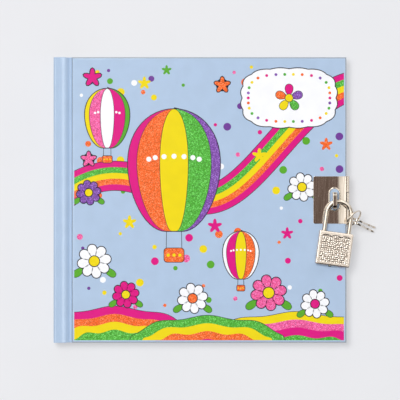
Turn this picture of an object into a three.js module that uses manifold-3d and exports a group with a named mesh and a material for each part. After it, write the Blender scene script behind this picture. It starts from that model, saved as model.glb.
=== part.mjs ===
// Secret diary: a square case-bound notebook held shut by a hasp, a staple and a small padlock.
// Millimetres. +X points to the fore-edge, +Y to the head, +Z out of the front cover.
// The origin is the centre of the back cover's underside; the diary lies on its back cover, locked.
import * as THREE from "three";
import { mergeVertices } from "three/addons/utils/BufferGeometryUtils.js";
import Module from "manifold-3d";

const wasm = await Module();
wasm.setup();

// Case: two boards, a spine board and the printed covering that wraps them
const COVER_WIDTH = 158;
const COVER_HEIGHT = 154;
const BOARD = 2.2;
const SPINE_BOARD = 2.0;
const COVERING = 0.25;
const TURN_IN = 14;
const JOINT_STRIP = 6.8; // stiff strip between the spine edge and the groove
const GROOVE = 3.0;
const GROOVE_DEPTH = 1.65;
const GROOVE_SLIT = 0.6; // open line along the middle of the groove, where the covering bends
const SPINE_EDGE_RADIUS = 1.3;
const CASE_GAP = 0.1; // between the spine and the strip that folds over it
const STRIP_EDGE = 2; // covering turned in under the joint strip's spine edge

// Paper
const PASTEDOWN = 0.2;
const FLYLEAF = 0.2;
const TURNING_LEAVES = 1.16;
const PAGE_BLOCK = 10.44;
const FORE_EDGE_SQUARE = 3.4;
const HEAD_SQUARE = 3.5;
const HOLLOW = 1.45; // free space between the spine board and the leaves
const BOUND_STRIP = 4; // the turning leaves bend this far from the binding edge
const TIPPED_STRIP = 3; // glued edge of the front flyleaf
const LINING = 0.3;
const BAND_LENGTH = 9.5;
const BAND_RADIUS = 0.7;

// Hasp: a strap from the back cover up the fore-edge, and a slotted flap on a pin
const HASP_HEIGHT = 25.6;
const HASP_SHEET = 0.4;
const FOOT_LENGTH = 12;
const STRAP_GAP = 1.05; // keeps the fixed eye clear of the front cover as it opens
const EYE_RADIUS = 0.7;
const PIN_RADIUS = 0.25;
const MIDDLE_EYE = 7.8;
const EYE_GAP = 0.3;
const FLAP_REACH = 18.7; // from the pin to the flap's free edge
const FLAP_CORNER = 1.0;
const FLAP_REST = 0.1; // above the front cover
const SLOT_WIDTH = 4.9;
const SLOT_LENGTH = 11.6;
const SLOT_RIM = 0.9;
const RIM_RISE = 0.6;
const SLOT_FROM_PIN = 7.3;
const SLOT_OFFSET = 0.3;
const RIVET_RADIUS = 1.1;
const RIVET_HEAD = 1.9;
const RIVET_HEAD_HEIGHT = 0.35;
const RIVET_SPACING = 14;
const RIVET_FROM_EDGE = 6.5;

// Staple: a strip loop whose legs pass through the front cover and are bent over inside
const STAPLE_WIDTH = 2.4;
const STAPLE_SHEET = 0.9;
const STAPLE_LENGTH = 9.1;
const STAPLE_RISE = 6.35;
const STAPLE_OFFSET = -0.3;
const STAPLE_FOOT = 3;
const STAPLE_CLEARANCE = 0.15;

// Padlock, in its own frame: x across, y towards the shackle, z out of its face
const LOCK_WIDTH = 18.7;
const LOCK_HEIGHT = 18.3;
const LOCK_THICKNESS = 5.2;
const LOCK_CORNER = 0.9;
const LOCK_EDGE = 0.8;
const SHELL_WALL = 0.4;
const SHELL_GAP = 0.1;
const SHACKLE_RADIUS = 1.25;
const SHACKLE_SPAN = 13.4;
const SHACKLE_RISE = 9.7; // straight part above the body
const LONG_LEG = 11;
const SHORT_LEG = 7.5;
const LEG_CLEARANCE = 0.2;
const HOOK_POINT = 3.0; // how far left of the arch's middle the staple holds the shackle
const LOCK_TURN = THREE.MathUtils.degToRad(-7.8);
const LOCK_ROLL = THREE.MathUtils.degToRad(3.5);
const LOCK_PITCH = THREE.MathUtils.degToRad(0.8);
const HOOK_HEIGHT = 4.05; // the shackle's centre above the cover where it crosses the staple
const HOOK_OFFSET = -1.25;
const BORDER = 1.3;
const FIELD_DEPTH = 0.12;
const SCALLOPS = 3;
const SCALLOP_RISE = 0.7;
const PLUG_RADIUS = 1.9;
const PLUG_LENGTH = 8;
const KEYWAY = 0.9;
const KEYWAY_SHARE = 0.7; // of the plug's radius
const PLUG_END = 1.5; // solid end of the plug beyond the keyway
const LATCH_Y = -3.2; // where the latch crosses the short leg
const LATCH_TAIL = 1.2;
const LATCH_SET_BACK = 0.15;
const LATCH_HEIGHT = 1.3;
const LATCH_THICKNESS = 1.8;
const NOTCH_DEPTH = 1.0;
const NOTCH_MARGIN = 0.3;
const RELEASE_TRAVEL = 5;
const SPRING_SHEET = 0.25;
const SPRING_GAP = 0.3;
const SPRING_DROP = 3.2; // from the latch to the bend of its leaf spring
const SPRING_FOOT = 3.8;

// Keys on a wire ring round the shackle's right leg
const RING_RADIUS = 5.2;
const RING_WIRE = 0.45;
const RING_TUCK = 2.7; // the ring's centre above the hasp's lower edge
const RING_FROM_SLOT = [10.3, -HASP_HEIGHT / 2 + RING_TUCK, 1.15]; // z is above the front cover
const RING_HEADING = THREE.MathUtils.degToRad(48);
const RING_LEAN = THREE.MathUtils.degToRad(26);
const KEY_THICKNESS = 1.0;
const KEY_SPACING = 1.8;
const KEY_BOW = 3.9;
const KEY_HOLE = 1.5;
const KEY_REACH = 17.1; // from the hole to the tip
const KEY_SHANK = 1.6; // half the shank's width
const KEY_BOW_OFFSET = 0.4;
const KEY_BITES = [0.52, 0.78]; // along the key, as shares of its reach
const KEY_BITE_WIDTH = 1.6;
const KEY_BITE_DEPTHS = [0.9, 0.7]; // of each key, as shares of half its shank
const KEY_HEADINGS = [-25, -22];
const KEY_SLOPE = THREE.MathUtils.degToRad(49);

// Levels, from the back cover's underside upwards
const COVER_THICKNESS = BOARD + 2 * COVERING;
const BACK_PASTEDOWN_Z = COVER_THICKNESS;
const BACK_FLYLEAF_Z = BACK_PASTEDOWN_Z + PASTEDOWN;
const PAGES_Z = BACK_FLYLEAF_Z + FLYLEAF;
const LEAVES_Z = PAGES_Z + PAGE_BLOCK;
const FRONT_FLYLEAF_Z = LEAVES_Z + TURNING_LEAVES;
const FRONT_PASTEDOWN_Z = FRONT_FLYLEAF_Z + FLYLEAF;
const FRONT_Z = FRONT_PASTEDOWN_Z + PASTEDOWN;
const TOP_Z = FRONT_Z + COVER_THICKNESS;

// Lines across the width
const SPINE_X = -COVER_WIDTH / 2;
const FORE_X = COVER_WIDTH / 2;
const STRIP_X = SPINE_X + JOINT_STRIP;
const BOARD_X = STRIP_X + GROOVE;
const GROOVE_X = (STRIP_X + BOARD_X) / 2;
const SPINE_INSIDE_X = SPINE_X + COVERING + SPINE_BOARD;
const BINDING_X = SPINE_INSIDE_X + HOLLOW;
const LEAF_END_X = FORE_X - FORE_EDGE_SQUARE;
const HALF_HEIGHT = COVER_HEIGHT / 2;
const HALF_LEAF = HALF_HEIGHT - HEAD_SQUARE;
const PIN_X = FORE_X + STRAP_GAP + HASP_SHEET - EYE_RADIUS;
const PIN_Z = TOP_Z + FLAP_REST + EYE_RADIUS;
const SLOT_X = PIN_X - SLOT_FROM_PIN;

const FINISH = {
  covering: new THREE.MeshStandardMaterial({ color: 0xb4cbe8, roughness: 0.3, metalness: 0 }),
  board: new THREE.MeshStandardMaterial({ color: 0x8f8d88, roughness: 0.9, metalness: 0 }),
  paper: new THREE.MeshStandardMaterial({ color: 0xf6f2e8, roughness: 0.85, metalness: 0 }),
  endpaper: new THREE.MeshStandardMaterial({ color: 0xf4f4f2, roughness: 0.75, metalness: 0 }),
  cloth: new THREE.MeshStandardMaterial({ color: 0xe9e4d8, roughness: 0.95, metalness: 0 }),
  nickel: new THREE.MeshStandardMaterial({ color: 0xb9b2a6, roughness: 0.25, metalness: 1 }),
  steel: new THREE.MeshStandardMaterial({ color: 0xa8a8a8, roughness: 0.35, metalness: 1 }),
};

const diary = new THREE.Group();

// A named piece of the diary, or of one of its groups
function addPiece(name, geometry, finish, parent = diary) {
  const mesh = new THREE.Mesh(geometry, finish);
  mesh.name = name;
  parent.add(mesh);
  return mesh;
}

// A box between two corners
function block(x0, x1, y0, y1, z0, z1) {
  const geometry = new THREE.BoxGeometry(x1 - x0, y1 - y0, z1 - z0);
  geometry.translate((x0 + x1) / 2, (y0 + y1) / 2, (z0 + z1) / 2);
  return geometry;
}

// A sheet that is as wide as the cover, or inset from its head and tail
function sheet(x0, x1, halfHeight, z0, thickness) {
  return block(x0, x1, -halfHeight, halfHeight, z0, z0 + thickness);
}

// A closed geometry as a solid that can be joined and cut
function solid(geometry) {
  const bare = geometry.clone();
  bare.deleteAttribute("normal");
  bare.deleteAttribute("uv");
  const merged = mergeVertices(bare, 1e-4);
  return new wasm.Manifold(
    new wasm.Mesh({
      numProp: 3,
      vertProperties: merged.attributes.position.array,
      triVerts: new Uint32Array(merged.index.array),
    }),
  );
}

// The geometry of a joined or cut solid
function surface(body) {
  const mesh = body.getMesh();
  const geometry = new THREE.BufferGeometry();
  geometry.setAttribute("position", new THREE.BufferAttribute(mesh.vertProperties, 3));
  geometry.setIndex(new THREE.BufferAttribute(mesh.triVerts, 1));
  return geometry;
}

// One geometry cut by others
function cut(geometry, ...tools) {
  return surface(tools.reduce((body, tool) => body.subtract(solid(tool)), solid(geometry)));
}

// Several overlapping geometries as one
function join(...pieces) {
  return surface(pieces.map(solid).reduce((body, piece) => body.add(piece)));
}

// A rectangle with round corners, centred on the origin
function roundedRectangle(width, height, radius) {
  const x = width / 2;
  const y = height / 2;
  const shape = new THREE.Shape();
  shape.moveTo(-x + radius, -y);
  shape.lineTo(x - radius, -y);
  shape.absarc(x - radius, -y + radius, radius, -Math.PI / 2, 0);
  shape.lineTo(x, y - radius);
  shape.absarc(x - radius, y - radius, radius, 0, Math.PI / 2);
  shape.lineTo(-x + radius, y);
  shape.absarc(-x + radius, y - radius, radius, Math.PI / 2, Math.PI);
  shape.lineTo(-x, -y + radius);
  shape.absarc(-x + radius, -y + radius, radius, Math.PI, 1.5 * Math.PI);
  return shape;
}

// A flat shape given thickness along z
function thicken(shape, depth, curveSegments = 6) {
  return new THREE.ExtrudeGeometry(shape, { depth, bevelEnabled: false, curveSegments });
}

// An outline drawn in x and z, run along y between two values
function runAlongY(shape, y0, y1, curveSegments = 6) {
  const geometry = thicken(shape, y1 - y0, curveSegments);
  geometry.rotateX(Math.PI / 2);
  geometry.translate(0, y1, 0);
  return geometry;
}

// A round bar along y
function barAlongY(radius, x, z, y0, y1, segments = 16) {
  const geometry = new THREE.CylinderGeometry(radius, radius, y1 - y0, segments);
  geometry.translate(x, (y0 + y1) / 2, z);
  return geometry;
}

// A round bar along z
function barAlongZ(radius, x, y, z0, z1, segments = 16) {
  const geometry = new THREE.CylinderGeometry(radius, radius, z1 - z0, segments);
  geometry.rotateX(Math.PI / 2);
  geometry.translate(x, y, (z0 + z1) / 2);
  return geometry;
}

// Rivet places in the hasp's foot
const RIVET_PLACES = [-RIVET_SPACING / 2, RIVET_SPACING / 2].map((y) => [FORE_X - RIVET_FROM_EDGE, y]);

// The two legs of the staple, as y ranges
const STAPLE_FROM = STAPLE_OFFSET - STAPLE_LENGTH / 2;
const STAPLE_TO = STAPLE_OFFSET + STAPLE_LENGTH / 2;
const STAPLE_LEGS = [
  [STAPLE_FROM, STAPLE_FROM + STAPLE_SHEET],
  [STAPLE_TO - STAPLE_SHEET, STAPLE_TO],
];

// Holes that the staple's legs need, through a level range
function stapleHoles(z0, z1) {
  const half = STAPLE_WIDTH / 2 + STAPLE_CLEARANCE;
  return STAPLE_LEGS.map(([y0, y1]) =>
    block(SLOT_X - half, SLOT_X + half, y0 - STAPLE_CLEARANCE, y1 + STAPLE_CLEARANCE, z0, z1),
  );
}

// Holes for the foot's rivets, through a level range
function rivetHoles(z0, z1) {
  return RIVET_PLACES.map(([x, y]) => barAlongZ(RIVET_RADIUS + LEG_CLEARANCE, x, y, z0, z1));
}

// Pockets that let the rivets' heads in, flush with the board's inner face
function headPockets() {
  const z = COVERING + BOARD - RIVET_HEAD_HEIGHT;
  return RIVET_PLACES.map(([x, y]) => barAlongZ(RIVET_HEAD + LEG_CLEARANCE, x, y, z, z + 1));
}

// The recess that seats the hasp's foot flush in the back cover
function footRecess() {
  const half = HASP_HEIGHT / 2;
  return block(FORE_X - FOOT_LENGTH, FORE_X + 1, -half, half, -1, HASP_SHEET);
}

// Covering paper of one cover: outer face, edges and the margins turned in over the board
function coverWrap(z0, outsideZ, insideZ) {
  const outer = sheet(BOARD_X, FORE_X, HALF_HEIGHT, z0, COVER_THICKNESS);
  const inside = block(
    BOARD_X + COVERING, FORE_X - COVERING, -HALF_HEIGHT + COVERING, HALF_HEIGHT - COVERING,
    z0 + COVERING, z0 + COVERING + BOARD,
  );
  const window = block(
    BOARD_X + COVERING, FORE_X - TURN_IN, -HALF_HEIGHT + TURN_IN, HALF_HEIGHT - TURN_IN,
    Math.min(outsideZ, insideZ), Math.max(outsideZ, insideZ),
  );
  return cut(outer, inside, window);
}

// The half of the groove's floor that belongs to one side of it
function grooveFloor(x0, x1, z) {
  return block(x0, x1, -HALF_HEIGHT, HALF_HEIGHT, z, z + COVERING);
}

// Outline of a joint strip in x and z, with its rounded spine edge outside
function stripOutline(inset, z0, z1, outerUp) {
  const radius = SPINE_EDGE_RADIUS - inset;
  const left = SPINE_X + inset;
  const right = STRIP_X - inset;
  const outline = new THREE.Shape();
  if (outerUp) {
    outline.moveTo(left, z0);
    outline.lineTo(right, z0);
    outline.lineTo(right, z1);
    outline.lineTo(left + radius, z1);
    outline.absarc(left + radius, z1 - radius, radius, Math.PI / 2, Math.PI);
  } else {
    outline.moveTo(left + radius, z0);
    outline.lineTo(right, z0);
    outline.lineTo(right, z1);
    outline.lineTo(left, z1);
    outline.lineTo(left, z0 + radius);
    outline.absarc(left + radius, z0 + radius, radius, Math.PI, 1.5 * Math.PI);
  }
  return outline;
}

function buildBackCover() {
  const boardX = BOARD_X + COVERING;
  const board = block(
    boardX, FORE_X - COVERING, -HALF_HEIGHT + COVERING, HALF_HEIGHT - COVERING, COVERING, COVERING + BOARD,
  );
  const rivetSeats = [...rivetHoles(0, COVER_THICKNESS), ...headPockets()];
  addPiece("back_cover_board", cut(board, footRecess(), ...rivetSeats), FINISH.board);
  const wrap = join(
    coverWrap(0, COVERING + BOARD, COVER_THICKNESS + 1),
    grooveFloor(GROOVE_X, BOARD_X + COVERING, GROOVE_DEPTH),
  );
  addPiece("back_cover_covering", cut(wrap, footRecess()), FINISH.covering);

  const stripBoard = stripOutline(COVERING, COVERING, COVERING + BOARD, false);
  addPiece(
    "back_joint_board",
    runAlongY(stripBoard, -HALF_HEIGHT + COVERING, HALF_HEIGHT - COVERING),
    FINISH.board,
  );
  const strip = join(
    cut(
      runAlongY(stripOutline(0, 0, COVER_THICKNESS, false), -HALF_HEIGHT, HALF_HEIGHT),
      runAlongY(stripBoard, -HALF_HEIGHT + COVERING, HALF_HEIGHT - COVERING),
      block(
        SPINE_X + STRIP_EDGE, STRIP_X - COVERING, -HALF_LEAF, HALF_LEAF, COVERING + BOARD, COVER_THICKNESS + 1,
      ),
    ),
    grooveFloor(STRIP_X - COVERING, GROOVE_X, GROOVE_DEPTH),
  );
  addPiece("back_joint_covering", strip, FINISH.covering);
}

function buildFrontCover() {
  const boardZ = FRONT_Z + COVERING;
  const board = block(
    BOARD_X + COVERING, FORE_X - COVERING, -HALF_HEIGHT + COVERING, HALF_HEIGHT - COVERING,
    boardZ, boardZ + BOARD,
  );
  const half = STAPLE_WIDTH / 2 + STAPLE_CLEARANCE;
  const feet = STAPLE_FOOT + STAPLE_CLEARANCE;
  const clinch = block(
    SLOT_X - half, SLOT_X + half, STAPLE_FROM - feet, STAPLE_TO + feet,
    boardZ - 1, boardZ + STAPLE_SHEET + STAPLE_CLEARANCE,
  );
  addPiece("front_cover_board", cut(board, clinch, ...stapleHoles(FRONT_Z, TOP_Z)), FINISH.board);
  const floorZ = TOP_Z - GROOVE_DEPTH - COVERING;
  const wrap = join(
    coverWrap(FRONT_Z, FRONT_Z - 1, boardZ),
    grooveFloor(GROOVE_X + GROOVE_SLIT / 2, BOARD_X + COVERING, floorZ),
  );
  addPiece("front_cover_covering", cut(wrap, ...stapleHoles(boardZ + BOARD / 2, TOP_Z + 1)), FINISH.covering);

  const stripBoard = stripOutline(COVERING, boardZ, boardZ + BOARD, true);
  addPiece(
    "front_joint_board",
    runAlongY(stripBoard, -HALF_HEIGHT + COVERING, HALF_HEIGHT - COVERING),
    FINISH.board,
  );
  const strip = join(
    cut(
      runAlongY(stripOutline(0, FRONT_Z, TOP_Z, true), -HALF_HEIGHT, HALF_HEIGHT),
      runAlongY(stripBoard, -HALF_HEIGHT + COVERING, HALF_HEIGHT - COVERING),
      block(SPINE_X + STRIP_EDGE, STRIP_X - COVERING, -HALF_LEAF, HALF_LEAF, FRONT_Z - 1, boardZ),
    ),
    grooveFloor(STRIP_X - COVERING, GROOVE_X - GROOVE_SLIT / 2, floorZ),
  );
  addPiece("front_joint_covering", strip, FINISH.covering);
}

function buildSpine() {
  const z0 = COVER_THICKNESS + CASE_GAP;
  const z1 = FRONT_Z - CASE_GAP;
  addPiece(
    "spine_board",
    block(
      SPINE_X + COVERING, SPINE_INSIDE_X, -HALF_HEIGHT + COVERING, HALF_HEIGHT - COVERING, z0, z1,
    ),
    FINISH.board,
  );
  const outer = block(SPINE_X, SPINE_INSIDE_X, -HALF_HEIGHT, HALF_HEIGHT, z0, z1);
  const inner = block(
    SPINE_X + COVERING, FORE_X, -HALF_HEIGHT + COVERING, HALF_HEIGHT - COVERING, z0 - 1, z1 + 1,
  );
  addPiece("spine_covering", cut(outer, inner), FINISH.covering);
}

function buildPaper() {
  const pastedownX = BOARD_X + COVERING;
  const leafSheet = (x0, z0, thickness) => sheet(x0, LEAF_END_X, HALF_LEAF, z0, thickness);
  addPiece("back_pastedown", leafSheet(pastedownX, BACK_PASTEDOWN_Z, PASTEDOWN), FINISH.endpaper);
  addPiece("back_flyleaf", leafSheet(BINDING_X, BACK_FLYLEAF_Z, FLYLEAF), FINISH.endpaper);
  const bendX = BINDING_X + BOUND_STRIP;
  const foldX = BINDING_X + TIPPED_STRIP;
  const pages = leafSheet(BINDING_X, PAGES_Z, PAGE_BLOCK);
  const boundEdge = sheet(BINDING_X, bendX, HALF_LEAF, PAGES_Z, PAGE_BLOCK + TURNING_LEAVES);
  addPiece("page_block", join(pages, boundEdge), FINISH.paper);
  addPiece("first_leaves", leafSheet(bendX, LEAVES_Z, TURNING_LEAVES), FINISH.paper);
  addPiece("front_flyleaf", leafSheet(foldX, FRONT_FLYLEAF_Z, FLYLEAF), FINISH.endpaper);
  addPiece("front_pastedown", leafSheet(pastedownX, FRONT_PASTEDOWN_Z, PASTEDOWN), FINISH.endpaper);
  const bandEnd = LEAVES_Z - BAND_RADIUS;
  addPiece(
    "spine_lining",
    block(BINDING_X - LINING, BINDING_X, -HALF_LEAF, HALF_LEAF, PAGES_Z, bandEnd),
    FINISH.cloth,
  );
  for (const [name, side] of [["head_band", 1], ["tail_band", -1]]) {
    const y = side * (HALF_LEAF + BAND_RADIUS);
    const band = barAlongZ(BAND_RADIUS, BINDING_X + BAND_RADIUS, y, bandEnd - BAND_LENGTH, bandEnd, 12);
    addPiece(name, band, FINISH.cloth);
  }
}

// One rolled eye of the hasp round its pin, with its own sheet running in from the side or from below
function rolledEye(y0, y1, sheetPiece) {
  const ring = barAlongY(EYE_RADIUS, PIN_X, PIN_Z, y0, y1);
  return solid(ring).add(solid(sheetPiece));
}

function buildHasp() {
  const half = HASP_HEIGHT / 2;
  const bore = barAlongY(EYE_RADIUS - HASP_SHEET, PIN_X, PIN_Z, -half - 1, half + 1);
  const strapX = FORE_X + STRAP_GAP;
  const middle = MIDDLE_EYE / 2;

  const foot = block(
    FORE_X - FOOT_LENGTH, strapX + HASP_SHEET, -half, half, 0, HASP_SHEET,
  );
  const shoulderZ = PIN_Z - EYE_RADIUS - EYE_GAP;
  const strap = block(strapX, strapX + HASP_SHEET, -half, half, 0, shoulderZ);
  const neck = block(strapX, strapX + HASP_SHEET, -middle, middle, shoulderZ - 1, PIN_Z);
  const anchor = rolledEye(-middle, middle, neck)
    .add(solid(strap))
    .add(solid(foot))
    .subtract(solid(bore));
  addPiece("hasp_strap", cut(surface(anchor), ...rivetHoles(-1, HASP_SHEET + 1)), FINISH.nickel);

  const flapZ = PIN_Z - EYE_RADIUS;
  const outline = roundedRectangle(FLAP_REACH * 2, HASP_HEIGHT, FLAP_CORNER);
  const plate = thicken(outline, HASP_SHEET);
  plate.translate(PIN_X, 0, flapZ);
  const beyondPin = block(PIN_X, PIN_X + FLAP_REACH + 1, -half - 1, half + 1, flapZ - 1, flapZ + 1);
  const outerEyes = [
    [middle + EYE_GAP, half],
    [-half, -middle - EYE_GAP],
  ];
  const gapForMiddle = block(
    PIN_X - EYE_RADIUS - EYE_GAP, PIN_X + EYE_RADIUS + EYE_GAP, -middle - EYE_GAP, middle + EYE_GAP,
    flapZ - 1, PIN_Z + EYE_RADIUS + 1,
  );
  let flap = solid(plate).subtract(solid(beyondPin));
  for (const [y0, y1] of outerEyes) flap = flap.add(solid(barAlongY(EYE_RADIUS, PIN_X, PIN_Z, y0, y1)));
  const rim = thicken(
    roundedRectangle(SLOT_WIDTH + 2 * SLOT_RIM, SLOT_LENGTH + 2 * SLOT_RIM, SLOT_WIDTH / 2 + SLOT_RIM),
    HASP_SHEET + RIM_RISE,
  );
  rim.translate(SLOT_X, SLOT_OFFSET, flapZ);
  const slot = thicken(roundedRectangle(SLOT_WIDTH, SLOT_LENGTH, SLOT_WIDTH / 2), 4);
  slot.translate(SLOT_X, SLOT_OFFSET, flapZ - 1);
  flap = flap.add(solid(rim)).subtract(solid(slot)).subtract(solid(bore)).subtract(solid(gapForMiddle));
  addPiece("hasp_flap", surface(flap), FINISH.nickel);

  addPiece("hasp_pin", barAlongY(PIN_RADIUS, PIN_X, PIN_Z, -half, half, 12), FINISH.steel);

  RIVET_PLACES.forEach(([x, y], index) => {
    const head = barAlongZ(RIVET_HEAD, x, y, COVERING + BOARD - RIVET_HEAD_HEIGHT, COVERING + BOARD);
    const shank = barAlongZ(RIVET_RADIUS, x, y, 0, COVERING + BOARD - RIVET_HEAD_HEIGHT / 2);
    addPiece(`hasp_rivet_${index + 1}`, join(shank, head), FINISH.steel);
  });
}

function buildStaple() {
  const rise = TOP_Z + STAPLE_RISE;
  const footZ = FRONT_Z + COVERING;
  const half = STAPLE_LENGTH / 2;
  const corner = SHACKLE_RADIUS + STAPLE_SHEET;
  const outer = new THREE.Shape();
  outer.moveTo(-half, footZ);
  outer.lineTo(half, footZ);
  outer.lineTo(half, rise - corner);
  outer.absarc(half - corner, rise - corner, corner, 0, Math.PI / 2);
  outer.lineTo(-half + corner, rise);
  outer.absarc(-half + corner, rise - corner, corner, Math.PI / 2, Math.PI);
  const inner = new THREE.Shape();
  const reach = half - STAPLE_SHEET;
  const inside = corner - STAPLE_SHEET;
  inner.moveTo(-reach, footZ - 1);
  inner.lineTo(reach, footZ - 1);
  inner.lineTo(reach, rise - corner);
  inner.absarc(reach - inside, rise - corner, inside, 0, Math.PI / 2);
  inner.lineTo(-reach + inside, rise - STAPLE_SHEET);
  inner.absarc(-reach + inside, rise - corner, inside, Math.PI / 2, Math.PI);
  const loop = cut(
    stapleStrip(outer, STAPLE_WIDTH),
    stapleStrip(inner, STAPLE_WIDTH + 2),
    block(SLOT_X - 3, SLOT_X + 3, -reach + STAPLE_OFFSET, reach + STAPLE_OFFSET, 0, TOP_Z),
  );
  const halfWidth = STAPLE_WIDTH / 2;
  const feet = [
    [STAPLE_FROM - STAPLE_FOOT, STAPLE_FROM + STAPLE_SHEET],
    [STAPLE_TO - STAPLE_SHEET, STAPLE_TO + STAPLE_FOOT],
  ].map(([y0, y1]) => block(SLOT_X - halfWidth, SLOT_X + halfWidth, y0, y1, footZ, footZ + STAPLE_SHEET));
  addPiece("staple", join(loop, ...feet), FINISH.nickel);
}

// A strip profile drawn in y and z, as wide as given and centred on the slot
function stapleStrip(shape, width) {
  const geometry = thicken(shape, width);
  geometry.rotateX(Math.PI / 2);
  geometry.rotateZ(Math.PI / 2);
  geometry.translate(SLOT_X - width / 2, STAPLE_OFFSET, 0);
  return geometry;
}

// Frames of the padlock: its origin is the middle of the body's top edge
function lockFrame() {
  const archHeight = Math.sqrt((SHACKLE_SPAN / 2) ** 2 - HOOK_POINT ** 2);
  const hook = new THREE.Group();
  hook.position.set(SLOT_X, HOOK_OFFSET, TOP_Z + HOOK_HEIGHT);
  hook.rotation.set(LOCK_PITCH, LOCK_ROLL, LOCK_TURN, "ZXY");
  const lock = new THREE.Group();
  lock.position.set(HOOK_POINT, -SHACKLE_RISE - archHeight, 0);
  hook.add(lock);
  diary.add(hook);
  return lock;
}

// One stamped half of the body, face outwards along +z
function lockShell() {
  const depth = LOCK_THICKNESS / 2 - LOCK_EDGE - SHELL_GAP / 2;
  const half = new THREE.ExtrudeGeometry(
    roundedRectangle(LOCK_WIDTH - 2 * LOCK_EDGE, LOCK_HEIGHT - 2 * LOCK_EDGE, LOCK_CORNER),
    { depth: 2 * depth, bevelThickness: LOCK_EDGE, bevelSize: LOCK_EDGE, bevelSegments: 3, curveSegments: 3 },
  );
  half.translate(0, -LOCK_HEIGHT / 2, -depth);
  const wall = SHELL_WALL;
  const hollow = new THREE.ExtrudeGeometry(
    roundedRectangle(
      LOCK_WIDTH - 2 * LOCK_EDGE - 2 * wall, LOCK_HEIGHT - 2 * LOCK_EDGE - 2 * wall, LOCK_CORNER / 2,
    ),
    {
      depth: 2 * depth,
      bevelThickness: LOCK_EDGE - wall / 2,
      bevelSize: LOCK_EDGE,
      bevelSegments: 1,
      curveSegments: 2,
    },
  );
  hollow.translate(0, -LOCK_HEIGHT / 2, -depth);
  const big = LOCK_WIDTH + LOCK_HEIGHT;
  const backHalf = block(-big, big, -big, big, -big, SHELL_GAP / 2);
  const legs = [-1, 1].map((side) =>
    barAlongY(SHACKLE_RADIUS + LEG_CLEARANCE, (side * SHACKLE_SPAN) / 2, 0, -2, 2, 14),
  );
  const keyhole = barAlongY(PLUG_RADIUS + LEG_CLEARANCE, 0, 0, -LOCK_HEIGHT - 1, -LOCK_HEIGHT + 1, 20);
  return solid(half)
    .subtract(solid(hollow))
    .subtract(solid(backHalf))
    .subtract(solid(legs[0]))
    .subtract(solid(legs[1]))
    .subtract(solid(keyhole));
}

// The sunk field on the face, with a scalloped upper border
function faceField() {
  const x = LOCK_WIDTH / 2 - LOCK_EDGE - BORDER / 2;
  const top = -LOCK_EDGE - BORDER - SCALLOP_RISE;
  const bottom = -LOCK_HEIGHT + LOCK_EDGE + BORDER / 2;
  const step = (2 * x) / SCALLOPS;
  const field = new THREE.Shape();
  field.moveTo(-x, bottom);
  field.lineTo(x, bottom);
  field.lineTo(x, top);
  for (let k = 0; k < SCALLOPS; k += 1) {
    const from = x - k * step;
    field.quadraticCurveTo(from - step / 2, top + 2 * SCALLOP_RISE, from - step, top);
  }
  const geometry = thicken(field, 2);
  geometry.translate(0, 0, LOCK_THICKNESS / 2 - FIELD_DEPTH);
  return geometry;
}

// The bent wire, with a notch for the latch and a ramp below it on its short leg
function shackleWire() {
  const radius = SHACKLE_SPAN / 2;
  const path = new THREE.CurvePath();
  const leftFoot = new THREE.Vector3(-radius, -LONG_LEG, 0);
  const leftTop = new THREE.Vector3(-radius, SHACKLE_RISE, 0);
  const rightTop = new THREE.Vector3(radius, SHACKLE_RISE, 0);
  const rightFoot = new THREE.Vector3(radius, -SHORT_LEG, 0);
  path.add(new THREE.LineCurve3(leftFoot, leftTop));
  const handle = (radius * 4 * (Math.SQRT2 - 1)) / 3;
  const apex = new THREE.Vector3(0, SHACKLE_RISE + radius, 0);
  const rise = new THREE.Vector3(0, handle, 0);
  const across = new THREE.Vector3(handle, 0, 0);
  path.add(
    new THREE.CubicBezierCurve3(leftTop, leftTop.clone().add(rise), apex.clone().sub(across), apex),
  );
  path.add(
    new THREE.CubicBezierCurve3(apex, apex.clone().add(across), rightTop.clone().add(rise), rightTop),
  );
  path.add(new THREE.LineCurve3(rightTop, rightFoot));
  const section = new THREE.Shape();
  section.absarc(0, 0, SHACKLE_RADIUS, 0, 2 * Math.PI);
  const wire = new THREE.ExtrudeGeometry(section, { steps: 56, extrudePath: path, curveSegments: 7 });

  const inner = radius - SHACKLE_RADIUS;
  const from = LATCH_Y + LATCH_HEIGHT / 2 + NOTCH_MARGIN;
  const ramp = new THREE.Shape();
  ramp.moveTo(inner - 1, from);
  ramp.lineTo(inner - 1, -SHORT_LEG - 1);
  ramp.lineTo(inner, LATCH_Y - LATCH_HEIGHT / 2 - RELEASE_TRAVEL);
  ramp.lineTo(inner + NOTCH_DEPTH, LATCH_Y - LATCH_HEIGHT / 2 - NOTCH_MARGIN);
  ramp.lineTo(inner + NOTCH_DEPTH, from);
  const notch = thicken(ramp, 2 * SHACKLE_RADIUS + 2);
  notch.translate(0, 0, -SHACKLE_RADIUS - 1);
  return cut(wire, notch);
}

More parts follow.
